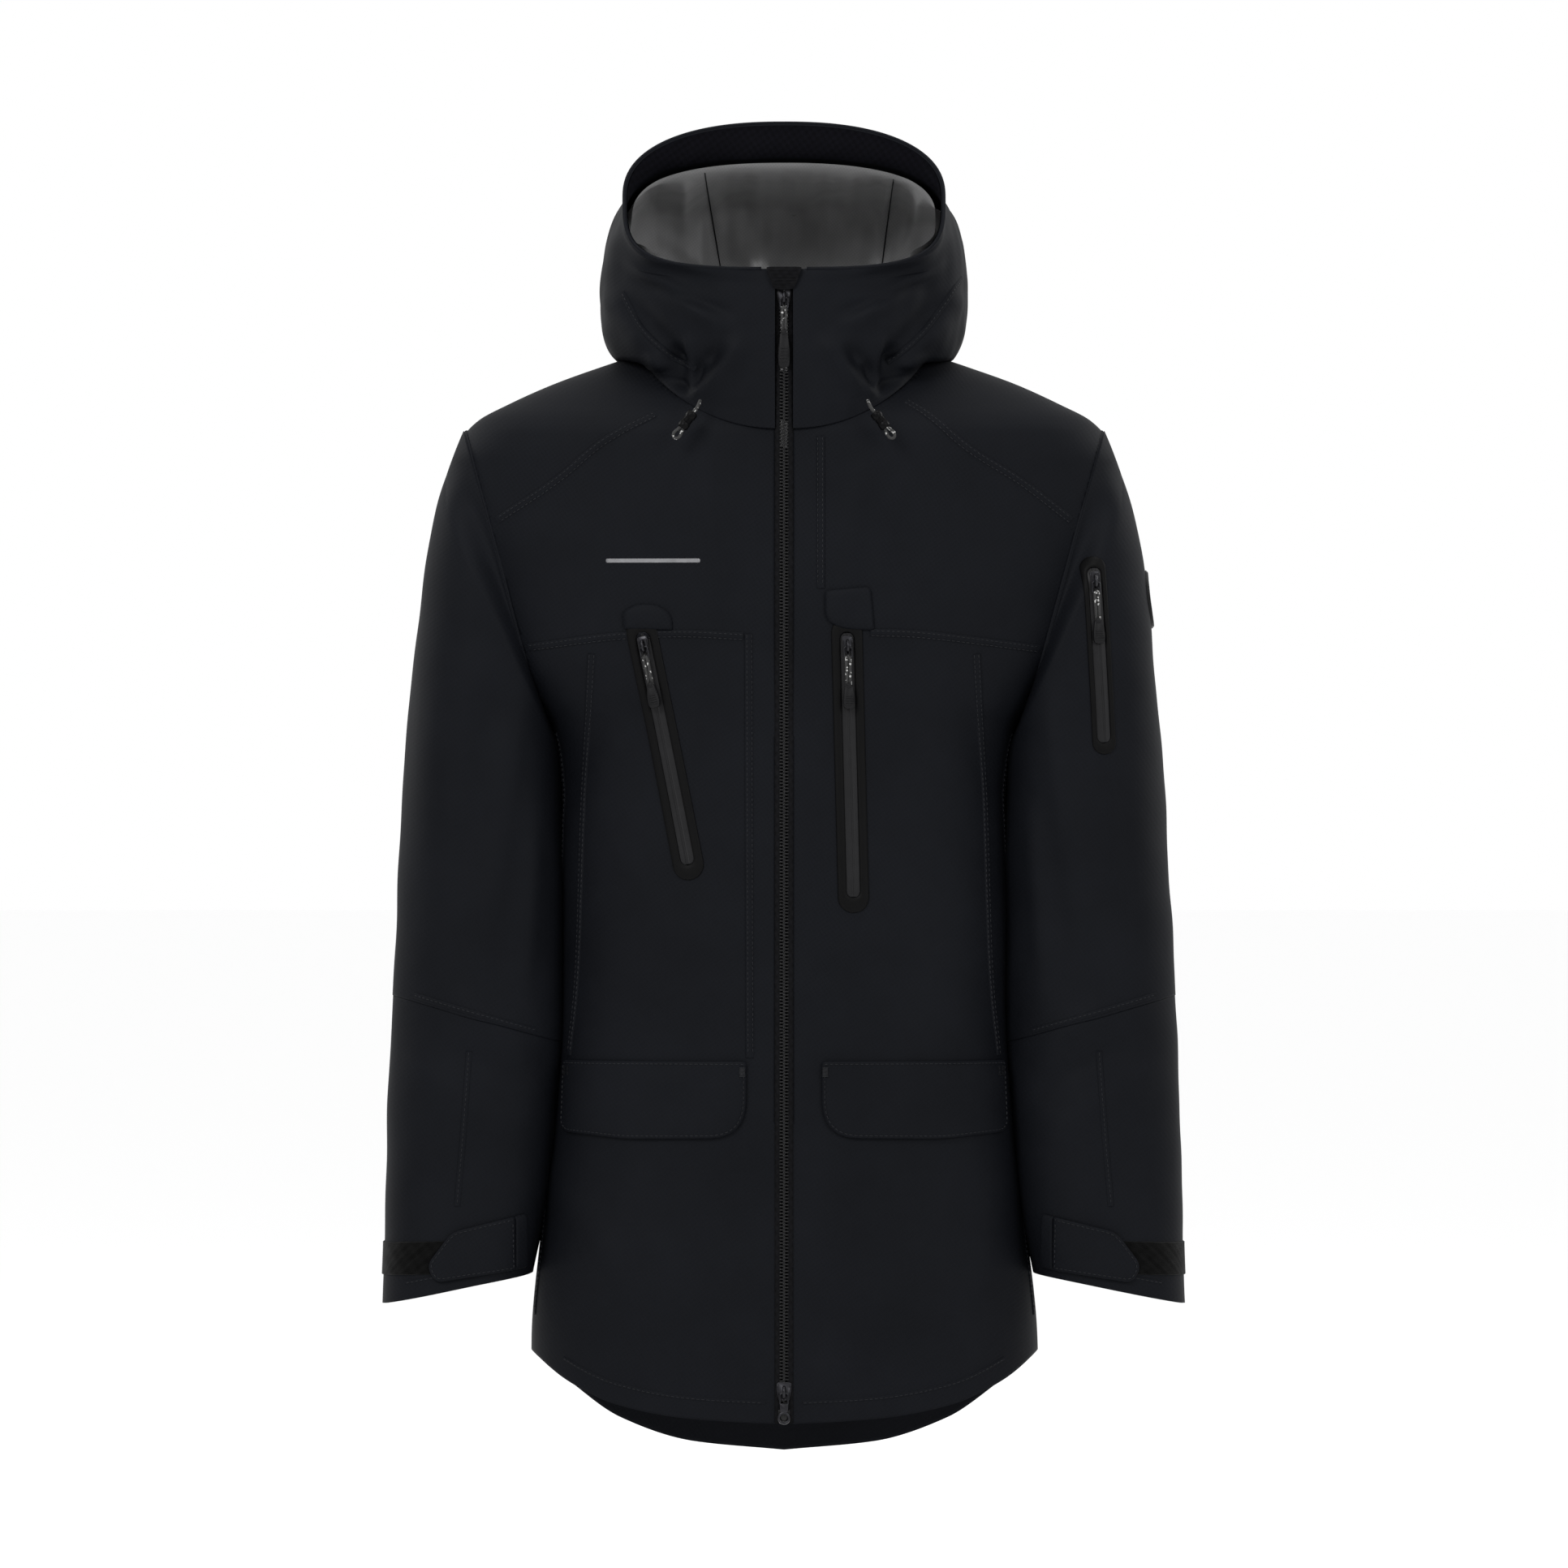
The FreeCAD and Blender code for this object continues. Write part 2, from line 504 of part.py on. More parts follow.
def stadium(width, length, out0, out1, lead):
    """A round-ended bar along -Z from lead above the start, to lead past the length."""
    radius = width / 2.0
    top, bottom = lead - radius, -length - lead + radius
    left, right = V(-radius, out0, top), V(radius, out0, top)
    low_right, low_left = V(radius, out0, bottom), V(-radius, out0, bottom)
    edges = [Part.Arc(left, V(0, out0, top + radius), right).toShape(),
             Part.LineSegment(right, low_right).toShape(),
             Part.Arc(low_right, V(0, out0, bottom - radius), low_left).toShape(),
             Part.LineSegment(low_left, left).toShape()]
    return Part.Face(Part.Wire(edges)).extrude(V(0, out1 - out0, 0))


def surface_point(solid, x, z):
    """The frontmost point of a solid at a place."""
    ray = solid.common(Part.makeLine(V(x, -FAR, z), V(x, -60.0, z)))
    return V(x, min(vertex.Y for vertex in ray.Vertexes), z)


POCKET_ZIPS = {}
JOINT_LINES = []


def pocket_zip(name, solid, top_x, top_z, end_x, end_z, width, cut_nodes):
    """A welded frame, its zip tape, slider and cord pull, let into the fabric."""
    top, end = surface_point(solid, top_x, top_z), surface_point(solid, end_x, end_z)
    middle_x, middle_z = (top_x + end_x) / 2.0, (top_z + end_z) / 2.0
    near = surface_point(solid, middle_x - width / 2.0, middle_z)
    far = surface_point(solid, middle_x + width / 2.0, middle_z)
    down = (end - top).normalize()
    length = top.distanceToPoint(end)
    frame = local_frame(top, down, far - near)
    POCKET_ZIPS[name] = (frame, length, down)
    hole = placed(stadium(width + 2.0 * SEAM, length, -9.0, 14.0, width / 2.0), frame)
    for node in cut_nodes:
        NODES[node] = largest(NODES[node].cut(hole))
    border = stadium(width, length, -FRAME_DEEP, 1.2, width / 2.0 - SEAM)
    border = border.cut(stadium(TAPE_SLOT, length, -9.0, 9.0, 0.0))
    NODES[name + "_frame"] = placed(border, frame)
    NODES[name + "_tape"] = placed(stadium(TAPE_SLOT - 0.2, length, -1.6, -0.4, -0.2), frame)
    slider_at = frame * FreeCAD.Matrix(1, 0, 0, 0, 0, 1, 0, 0, 0, 0, 1, -SLIDER_LEAD, 0, 0, 0, 1)
    NODES[name + "_slider"] = placed(slider_shape(3.8, 13.0), slider_at)
    NODES[name + "_pull"] = placed(cord_pull(20.0, 18.0), slider_at)
    pivot = slider_at.multVec(V(0, BRIDGE_OUT, BRIDGE_Z))
    JOINT_LINES.append((name, pivot, frame.multVec(V(1, 0, 0)) - frame.multVec(V(0, 0, 0)), down, length))


pocket_zip("chest_zip_right", outer_body, -108.5, -192.0, -73.0, -369.0, 24.0,
           ["chest_yoke_right", "front_panel_right"])
pocket_zip("chest_zip_left", outer_body, 48.0, -192.0, 53.0, -394.0, 24.0,
           ["chest_yoke_left", "front_panel_left"])
pocket_zip("sleeve_zip", sleeve_solid(1, 0.0), 237.0, -142.0, 245.0, -276.0, 18.0, ["sleeve_left"])

# The chest yoke's flap over the head of the left chest zip.
garage = local_box(-15.0, 15.0, 1.4, 3.0, 1.0, 30.0)
NODES["chest_zip_garage"] = placed(garage, POCKET_ZIPS["chest_zip_left"][0])

# ---- badge, hang loop and cord locks ----
BADGE_CENTRE = V(276.0, -84.0, -166.0)
BADGE_R = 23.0
BADGE_FACING = V(1.0, -0.35, 0.15).normalize()
badge_skin = sleeve_band(1, 0.1, 1.8)
NODES["sleeve_badge"] = largest(badge_skin.common(
    Part.makeCylinder(BADGE_R, 60.0, BADGE_CENTRE - BADGE_FACING * 20.0, BADGE_FACING)))

LOOP_HALF = 26.0
loop_outer = Part.Arc(V(-LOOP_HALF, 3.6, -3), V(0, -9.0, -3), V(LOOP_HALF, 3.6, -3)).toShape()
loop_inner = Part.Arc(V(LOOP_HALF - 3.0, 3.6, -3), V(0, -7.6, -3), V(-LOOP_HALF + 3.0, 3.6, -3)).toShape()
loop_ends = [Part.LineSegment(V(LOOP_HALF, 3.6, -3), V(LOOP_HALF - 3.0, 3.6, -3)).toShape(),
             Part.LineSegment(V(-LOOP_HALF + 3.0, 3.6, -3), V(-LOOP_HALF, 3.6, -3)).toShape()]
loop_face = Part.Face(Part.Wire(Part.__sortEdges__([loop_outer, loop_ends[0], loop_inner, loop_ends[1]])))
NODES["hang_loop"] = loop_face.extrude(V(0, 0, 6.0))

LOCK_R = 4.2
LOCK_LENGTH = 15.0
for name, side in SIDES:
    start = V(side * 69.0, -191.5, -24.0)
    run = V(side * 0.6, -0.05, -0.8).normalize()
    lock = Part.makeCylinder(LOCK_R, LOCK_LENGTH, start, run)
    lock = lock.cut(Part.makeCylinder(1.6, LOCK_LENGTH + 2.0, start - run, run))
    NODES["cord_lock_" + name] = lock

for name, frame in (("main_upper", upper_frame), ("main_lower", lower_frame)):
    pivot = frame.multVec(V(0, BRIDGE_OUT, BRIDGE_Z))
    JOINT_LINES.append((name, pivot, V(-1, 0, 0), DOWN, ZIP_TOP_Z - ZIP_BOTTOM_Z))
for name, pivot, pin, down, length in JOINT_LINES:
    print(name, "pivot", *[round(c, 3) for c in pivot], "pin", *[round(c, 5) for c in pin],
          "down", *[round(c, 5) for c in down], "length", round(length, 1))
for name, shape in NODES.items():
    shape.exportStep("parts/" + name + ".step")
print(len(NODES), "nodes")
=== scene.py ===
import json
import math

import bmesh
import bpy
import numpy as np
from mathutils import Matrix, Vector
from mathutils.bvhtree import BVHTree

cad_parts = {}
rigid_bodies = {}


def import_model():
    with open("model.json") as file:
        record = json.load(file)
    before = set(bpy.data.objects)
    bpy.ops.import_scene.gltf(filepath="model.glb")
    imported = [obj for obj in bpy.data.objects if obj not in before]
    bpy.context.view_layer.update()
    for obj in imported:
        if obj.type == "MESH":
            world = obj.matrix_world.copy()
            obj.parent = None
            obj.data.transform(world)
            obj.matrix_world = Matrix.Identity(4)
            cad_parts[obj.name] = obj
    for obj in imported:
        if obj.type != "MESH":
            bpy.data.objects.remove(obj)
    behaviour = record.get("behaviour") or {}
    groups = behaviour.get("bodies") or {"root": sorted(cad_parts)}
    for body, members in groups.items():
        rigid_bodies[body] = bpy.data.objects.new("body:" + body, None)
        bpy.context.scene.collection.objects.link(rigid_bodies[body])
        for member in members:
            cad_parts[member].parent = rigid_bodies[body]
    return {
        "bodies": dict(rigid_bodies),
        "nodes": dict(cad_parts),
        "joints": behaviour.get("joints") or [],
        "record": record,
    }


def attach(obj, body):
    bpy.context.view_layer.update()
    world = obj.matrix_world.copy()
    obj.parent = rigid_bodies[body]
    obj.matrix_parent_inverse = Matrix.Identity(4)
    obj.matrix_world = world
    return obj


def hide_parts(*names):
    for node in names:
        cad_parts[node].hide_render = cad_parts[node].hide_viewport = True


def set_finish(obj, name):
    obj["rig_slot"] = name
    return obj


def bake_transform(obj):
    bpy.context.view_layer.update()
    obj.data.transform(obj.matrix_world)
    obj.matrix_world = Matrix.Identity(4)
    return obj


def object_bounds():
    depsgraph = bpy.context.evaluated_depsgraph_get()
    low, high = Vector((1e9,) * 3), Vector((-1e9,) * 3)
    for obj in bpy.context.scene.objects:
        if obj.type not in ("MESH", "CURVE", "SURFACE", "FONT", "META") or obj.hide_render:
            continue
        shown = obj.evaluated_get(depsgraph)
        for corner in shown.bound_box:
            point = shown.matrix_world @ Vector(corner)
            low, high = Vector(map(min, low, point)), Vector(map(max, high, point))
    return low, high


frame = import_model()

# A long hooded ski jacket, zipped up and filled out as when worn. Lengths in this script are
# millimetres in the CAD frame: origin at the hang loop, the front faces -Y, +Z is up and +X is
# the wearer's left. They become metres where a mesh is made.

MM = 0.001
cad_low, cad_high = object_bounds()

# ---- driving dimensions, shared with the CAD part ----
FRONT_TOP_Y, FRONT_SLOPE = -173.0, 0.045
ZIP_TOP_Z, ZIP_BOTTOM_Z = 75.0, -794.0
CHANNEL_HALF, LAP = 7.2, 0.3
POWER = 2.6
ARM_TOP, ARM_BOTTOM = (249.0, -22.0), (184.0, -262.0)
SIDES = (("right", -1), ("left", 1))

# Body sections: height, half width, back Y, front Y.
BODY = [(-840.0, 196.0, 42.0, -214.2), (-735.0, 195.0, 42.0, -209.5), (-639.0, 186.0, 38.0, -205.1),
        (-546.0, 177.5, 30.0, -200.9), (-465.0, 173.0, 24.0, -197.3), (-391.0, 173.5, 26.0, -194.0),
        (-329.0, 172.5, 30.0, -191.2), (-290.0, 175.0, 32.0, -189.4), (-262.0, 182.0, 33.0, -188.2),
        (-240.0, 200.0, 33.0, -187.2), (-205.0, 228.0, 33.0, -185.6), (-150.0, 248.0, 32.0, -183.1),
        (-100.0, 258.0, 29.0, -180.9), (-60.0, 258.0, 25.0, -179.1), (-38.0, 246.5, 22.0, -177.9),
        (-27.0, 235.5, 20.0, -172.5), (-15.0, 213.0, 18.0, -162.0), (0.0, 180.0, 14.0, -144.0),
        (12.0, 148.0, 10.0, -128.0), (22.0, 118.0, 0.0, -112.0), (28.0, 92.0, -10.0, -98.0)]


# ---- curves and surfaces ----
def smooth_table(rows):
    """Monotone cubic curves through a table's columns, as functions of its first column."""
    data = np.array(rows, float)
    x = data[:, 0]
    curves = []
    for y in data[:, 1:].T:
        h, d = np.diff(x), np.diff(y) / np.diff(x)
        slope = np.zeros_like(y)
        slope[0], slope[-1] = d[0], d[-1]
        for i in range(1, len(x) - 1):
            if d[i - 1] * d[i] > 0:
                w1, w2 = 2 * h[i] + h[i - 1], h[i] + 2 * h[i - 1]
                slope[i] = (w1 + w2) / (w1 / d[i - 1] + w2 / d[i])
        curves.append((y, slope))

    def at(value):
        value = np.clip(np.asarray(value, float), x[0], x[-1])
        i = np.clip(np.searchsorted(x, value) - 1, 0, len(x) - 2)
        h = x[i + 1] - x[i]
        t = (value - x[i]) / h
        out = []
        for y, slope in curves:
            a = (1 + 2 * t) * (1 - t) ** 2 * y[i] + t * (1 - t) ** 2 * h * slope[i]
            out.append(a + t * t * (3 - 2 * t) * y[i + 1] + t * t * (t - 1) * h * slope[i + 1])
        return out

    return at


body_at = smooth_table(BODY)


def front_y(z):
    return FRONT_TOP_Y - FRONT_SLOPE * (ZIP_TOP_Z - z)


def bulge(share, power):
    """A sine or cosine drawn out to a superellipse."""
    return np.sign(share) * np.abs(share) ** (2 / power)


def even_turns(count, half, deep, power):
    """Turns round a superellipse whose points are evenly spaced along it."""
    fine = np.linspace(0.0, 2 * math.pi, 20001)
    x = half * bulge(np.cos(fine), power)
    y = deep * bulge(np.sin(fine), power)
    run = np.concatenate([[0], np.cumsum(np.hypot(np.diff(x), np.diff(y)))])
    return np.interp(np.arange(count) * run[-1] / count, run, fine)


def body_ring(z, turn):
    """Points of the body at heights z and turns round it, from the wearer's left, front at -90."""
    half, back, front = body_at(z)
    y = (back + front) / 2 + (back - front) / 2 * bulge(np.sin(turn), POWER)
    return half * bulge(np.cos(turn), POWER), y


def body_wall(x, z, way):
    """Y of the body's back surface where way is 1, and of its front where it is -1."""
    half, back, front = body_at(z)
    inside = np.clip(1 - (np.abs(x) / half) ** POWER, 0, 1)
    return (back + front) / 2 + way * (back - front) / 2 * inside ** (1 / POWER)


def body_side(y, z):
    """X of the body's side surface."""
    half, back, front = body_at(z)
    inside = np.clip(1 - np.abs((y - (back + front) / 2) / ((back - front) / 2)) ** POWER, 0, 1)
    return half * inside ** (1 / POWER)


def ease(value, low, high):
    """0 below low, 1 above high, smooth between."""
    t = np.clip((value - low) / (high - low), 0, 1)
    return t * t * (3 - 2 * t)


def ridge(a, b, start, end, width):
    """1 along a segment, falling off on either side over width, with soft ends."""
    (x0, y0), (x1, y1) = start, end
    length = math.hypot(x1 - x0, y1 - y0)
    ux, uy = (x1 - x0) / length, (y1 - y0) / length
    along = ((a - x0) * ux + (b - y0) * uy) / length
    aside = (a - x0) * -uy + (b - y0) * ux
    return np.exp(-(aside / width) ** 2) * ease(along, -0.15, 0.25) * (1 - ease(along, 0.7, 1.15))


def creases(z, *groups):
    """Sums ridges. A group is its share, the crosswise place and rows of height, start, end and width."""
    return sum(share * height * ridge(across, z, start, end, width)
               for share, across, rows in groups for height, start, end, width in rows)


def noise(a, b, scale, seed):
    """Soft repeatable waves in two directions, from -1 to 1."""
    rng = np.random.default_rng(seed)
    total = np.zeros_like(np.asarray(a, float) + np.asarray(b, float))
    for _ in range(7):
        heading, phase = rng.uniform(0, 2 * math.pi, 2)
        stretch = rng.uniform(0.6, 1.7) / scale
        total = total + np.sin((np.cos(heading) * a + np.sin(heading) * b) * stretch * 2 * math.pi + phase)
    return total / 4.0


# ---- mesh making ----
def piece(name, points, faces, material=None):
    mesh = bpy.data.meshes.new(name)
    mesh.from_pydata([tuple(float(c) * MM for c in p) for p in points], [], faces)
    mesh.validate()
    mesh.update()
    mesh.polygons.foreach_set("use_smooth", [True] * len(mesh.polygons))
    obj = bpy.data.objects.new(name, mesh)
    bpy.context.collection.objects.link(obj)
    if material:
        mesh.materials.append(material)
    return obj


def grid_faces(rows, columns, closed):
    """Quads of a grid of rows by columns, closed round the columns or not."""
    faces = []
    last = columns if closed else columns - 1
    for r in range(rows - 1):
        for c in range(last):
            d = (c + 1) % columns
            faces.append((r * columns + c, r * columns + d, (r + 1) * columns + d, (r + 1) * columns + c))
    return faces


def thicken(obj, thickness):
    """Gives a sheet a thickness inwards."""
    solid = obj.modifiers.new("thickness", "SOLIDIFY")
    solid.thickness, solid.offset, solid.use_even_offset = thickness * MM, -1.0, False
    graph = bpy.context.evaluated_depsgraph_get()
    mesh = bpy.data.meshes.new_from_object(obj.evaluated_get(graph))
    old = obj.data
    obj.modifiers.clear()
    obj.data = mesh
    bpy.data.meshes.remove(old)


def opened(obj):
    work = bmesh.new()
    work.from_mesh(obj.data)
    return work


def closed_into(obj, work):
    work.to_mesh(obj.data)
    work.free()


def keep_faces(obj, keep):
    """Deletes the faces whose centres don't pass the test, given in millimetres."""
    work = opened(obj)
    gone = [f for f in work.faces if not keep(f.calc_center_median() / MM)]
    bmesh.ops.delete(work, geom=gone, context="FACES")
    closed_into(obj, work)


def cut_plane(obj, point, normal, chosen):
    """Cuts the chosen faces by a plane and drops what lies on the normal's side."""
    work = opened(obj)
    faces = [f for f in work.faces if chosen(f.calc_center_median() / MM)]
    geom = list({v for f in faces for v in f.verts}) + list({e for f in faces for e in f.edges}) + faces
    bmesh.ops.bisect_plane(work, geom=geom, plane_co=Vector(point) * MM, plane_no=Vector(normal),
                           clear_outer=True, dist=1e-6)
    closed_into(obj, work)


class Heap:
    """Points and faces of many small shapes, made into one piece."""

    def __init__(self):
        self.points, self.faces = [], []

    def put(self, shape, matrix=None):
        points, faces = shape
        start = len(self.points)
        self.points += [matrix @ Vector(p) for p in points] if matrix else [Vector(p) for p in points]
        self.faces += [tuple(start + i for i in f) for f in faces]

    def make(self, name, material):
        return piece(name, self.points, self.faces, material)


def tube(path, radius, sides=12, closed=False):
    """A round tube along a path, with flat ends."""
    path = [Vector(p) for p in path]
    count = len(path)
    points, side = [], None
    for i, here in enumerate(path):
        a = path[i - 1] if (i or closed) else here
        b = path[(i + 1) % count] if (i < count - 1 or closed) else here
        along = (b - a).normalized()
        if side is None:
            side = along.orthogonal().normalized()
        side = (side - along * side.dot(along)).normalized()
        up = along.cross(side)
        for k in range(sides):
            angle = 2 * math.pi * k / sides
            points.append(here + (side * math.cos(angle) + up * math.sin(angle)) * radius)
    faces, last = grid_faces(count, sides, True), (count - 1) * sides
    if closed:
        faces += [(last + k, last + (k + 1) % sides, (k + 1) % sides, k) for k in range(sides)]
    else:
        faces += [tuple(range(sides))[::-1], tuple(range(last, last + sides))]
    return points, faces


# ---- the body ----
HEM = smooth_table([(0, -795.0, -827.0), (71, -791.0, -820.0), (127, -781.0, -801.0), (165, -764.0, -773.0),
                    (190, -746.0, -750.0), (215, -722.0, -722.0)])


def hem_z(x, back_share):
    front, back = HEM(np.abs(x))
    return front * (1 - back_share) + back * back_share


def body_folds(x, y, z):
    """How far the body's fabric stands out of its smooth shape."""
    ax = np.abs(x)
    front = ease(-y, 40, 120)
    lift = 1.1 * noise(x, z, 210, 3) + 0.5 * noise(x, z * 0.6, 95, 5)
    lift = lift + creases(
        z,
        (front, ax, [(2.2, (60, -60), (46, -180), 9), (-1.6, (140, -250), (168, -330), 14)]),
        (front, x, [(2.4, (-176, -600), (-120, -700), 15), (2.2, (178, -590), (130, -760), 17),
                    (1.5, (95, -590), (80, -740), 18), (-1.5, (-70, -600), (-60, -760), 16)]),
        (1 - front, ax, [(2.5, (150, -170), (120, -420), 22), (-2.0, (60, -480), (150, -520), 12)]))
    return lift * ease(ax, CHANNEL_HALF, 40)


TURNS, ROWS = 420, 330


def body_points():
    """Rings of the body from the hem up to the neck's base."""
    turn = even_turns(TURNS, 185.0, 115.0, POWER)
    low = hem_z(body_at(-780.0)[0] * bulge(np.cos(turn), POWER), ease(np.sin(turn), -0.35, 0.35))
    points = []
    for share in np.linspace(0, 1, ROWS):
        z = low + (27.0 - low) * share
        x, y = body_ring(z, turn)
        lift = body_folds(x, y, z)
        centre_y = sum(body_at(z)[1:]) / 2
        length = np.hypot(x * 0.45, y - centre_y)
        points.append(np.stack([x + lift * x * 0.45 / length, y + lift * (y - centre_y) / length, z], 1))
    return np.concatenate(points)


def in_neck(p):
    return (abs(p.x) / 104) ** POWER + (abs(p.y + 83) / 91) ** POWER < 1 and p.z > -60


ARM_RUN = Vector((ARM_BOTTOM[0] - ARM_TOP[0], 0, ARM_BOTTOM[1] - ARM_TOP[1])).normalized()


def cut_channel(obj, half, back_y):
    """Opens a straight slot down the centre front."""
    for side in (-1, 1):
        work = opened(obj)
        bmesh.ops.bisect_plane(work, geom=work.verts[:] + work.edges[:] + work.faces[:],
                               plane_co=(side * half * MM, 0, 0), plane_no=(side, 0, 0), dist=1e-7)
        closed_into(obj, work)
    keep_faces(obj, lambda p: abs(p.x) > half or p.y > back_y)


def open_body(obj):
    """Opens the neck, the centre front and the armholes."""
    keep_faces(obj, lambda p: not in_neck(p))
    cut_channel(obj, CHANNEL_HALF - LAP, -60.0)
    for _, side in SIDES:
        cut_plane(obj, (side * (ARM_TOP[0] - 0.4), 0, ARM_TOP[1]), (side * -ARM_RUN.z, 0, ARM_RUN.x),
                  lambda p: p.x * side > 100 and p.z > ARM_BOTTOM[1] - 6)


# ---- sleeves ----
# Inner X and Z, outer X and Z, front Y, back Y of each ring, from the armhole to the cuff.
ARM_RINGS = [(184.0, -262.0, 245.2, -36.6, -148.0, -12.0), (173.0, -286.0, 267.0, -98.0, -158.0, -4.0),
             (172.0, -322.0, 281.0, -190.0, -160.0, -6.0), (169.0, -385.0, 290.5, -300.0, -160.0, -12.0),
             (169.0, -492.0, 298.0, -452.0, -161.0, -20.0), (174.0, -562.0, 303.0, -535.0, -164.0, -28.0),
             (184.0, -636.0, 305.0, -645.0, -168.0, -40.0), (194.0, -682.5, 307.5, -706.0, -171.0, -47.0)]
arm_at = smooth_table([(k,) + row for k, row in enumerate(ARM_RINGS)])
RING_TURNS = 150


def arm_folds(x, y, z, side):
    """How far a sleeve's fabric stands out of its smooth tube."""
    ax = np.abs(x)
    lift = 1.3 * noise(x * 0.7 + y, z * 0.55, 120, 11 + side) + 0.5 * noise(x, z, 60, 21 + side)
    front = ease(-y, 60, 130)
    lift = lift + creases(
        z,
        (front, ax, [(3.0, (205, -250), (232, -450), 10), (-2.0, (222, -240), (262, -460), 12),
                     (2.6, (190, -330), (200, -470), 8), (-1.5, (262, -560), (272, -650), 12)]),
        (1.0, ax, [(2.6, (195, -520), (250, -470), 10), (-2.2, (185, -545), (262, -505), 9),
                   (2.0, (200, -580), (290, -520), 12)]))
    return lift * ease(-z, 60, 140)


def arm_points(side, first, last, rows, inset):
    """Rings of one sleeve between two places along it, pressed flat where it meets the body."""
    turn = even_turns(RING_TURNS, 62.0, 72.0, 2.5)
    across, deep = bulge(np.cos(turn), 2.5), bulge(np.sin(turn), 2.5)
    points = []
    for k in np.linspace(first, last, rows):
        ix, iz, ox, oz, front, back = arm_at(k)
        share = (1 + across) / 2
        x, z = ix + (ox - ix) * share, iz + (oz - iz) * share
        y = (front + back) / 2 + (back - front) / 2 * deep
        # The first ring lies on the armhole's own edge.
        edge = 1 - ease(k, 0.0, 0.9)
        y = y * (1 - edge) + body_wall(x, z, np.where(deep < 0, -1, 1)) * edge
        lift = arm_folds(x, y, z, side) * (1 - edge) - inset
        middle_x, middle_y = (ix + ox) / 2, (front + back) / 2
        length = np.hypot(x - middle_x, y - middle_y) + 1e-6
        x = x + lift * (x - middle_x) / length
        y = y + lift * (y - middle_y) / length
        wall = body_side(y, z) + 1.4 + inset
        below = ease(-z, 255, 285)
        x = np.where((x < wall) & (below > 0), x + (wall - x) * below, x)
        points.append(np.stack([x * side, y, z], 1))
    return np.concatenate(points)


# ---- hood and collar ----
# Rings from the neck to the face opening: front Y and Z, back Y and Z, half width, lift of the sides.
HOOD_RINGS = [(-180.5, -36.0, 11.0, -5.0, 107.0, 40.0), (-181.0, -8.0, 26.0, 3.0, 112.0, 22.0),
              (-181.0, 20.0, 48.0, 13.0, 131.0, 4.0), (-180.5, 47.0, 62.0, 42.0, 141.0, 0.0),
              (-179.5, 64.0, 69.0, 95.0, 142.0, 0.0), (-178.5, 74.0, 38.0, 148.0, 137.0, 2.0),
              (-178.0, 80.0, -32.0, 167.0, 129.0, 3.0), (-177.5, 84.0, -88.0, 174.0, 124.0, 2.0),
              (-177.0, 86.0, -118.0, 200.0, 122.5, -1.0)]
hood_at = smooth_table([(k,) + row for k, row in enumerate(HOOD_RINGS)])
HOOD_TURNS, HOOD_ROWS, HOOD_POWER = 360, 190, 2.35
HOOD_TURN = even_turns(HOOD_TURNS, 115.0, 135.0, HOOD_POWER)
RIM = len(HOOD_RINGS) - 1


def hood_folds(x, y, z):
    front = ease(-y, 60, 110)
    ax = np.abs(x)
    lift = 0.9 * noise(x, z + 0.5 * y, 90, 31) + 0.45 * noise(x + y, z, 40, 32)
    lift = lift + creases(
        z,
        (front, ax, [(7.0, (120, 96), (46, 40), 8), (-4.0, (112, 78), (44, 52), 5),
                     (4.4, (104, 20), (66, -8), 5), (4.0, (74, 34), (72, -10), 4),
                     (2.2, (58, 20), (68, -14), 3.5), (-7.0, (122, 62), (66, 4), 9),
                     (4.0, (136, 70), (104, 26), 10), (-8.0, (50, 26), (80, -12), 7),
                     (4.5, (30, 34), (60, -8), 9), (-11.0, (88, 26), (80, -10), 7)]),
        (front, x, [(2.2, (-128, 118), (-136, 60), 7), (2.5, (132, 112), (126, 52), 8)]),
        (1 - front, ax, [(-2.0, (30, 150), (90, 60), 16)]))
    return lift * ease(ax, CHANNEL_HALF, 34)


def hood_ring(k, turn):
    fy, fz, by, bz, half, side_lift = hood_at(k)
    # The face opening's lower half is squarer than the rest.
    power = np.where(np.cos(turn) > 0, HOOD_POWER + 1.25 * ease(k, RIM - 3.0, RIM), HOOD_POWER)
    share = (1 - bulge(np.cos(turn), power)) / 2
    x = half * bulge(np.sin(turn), power)
    return x, fy + (by - fy) * share, fz + (bz - fz) * share + side_lift * np.sin(turn) ** 2


def lining_folds(x, y, z):
    """Soft upright folds of the satin lining."""
    soft = 0.6 + 4.6 * noise(x * 1.6 + 30, z * 0.25, 70, 41) + 2.4 * noise(x * 1.5, z * 0.4, 34, 42)
    soft = soft - creases(z, (1.0, x, [(2.6, (-58, 168), (-44, 70), 5), (2.6, (84, 168), (72, 70), 5),
                                       (2.4, (-104, 128), (-60, 92), 8), (2.8, (112, 128), (84, 92), 7)]))
    return np.minimum(soft, 4.5) + np.minimum(hood_folds(x, y, z), 0)


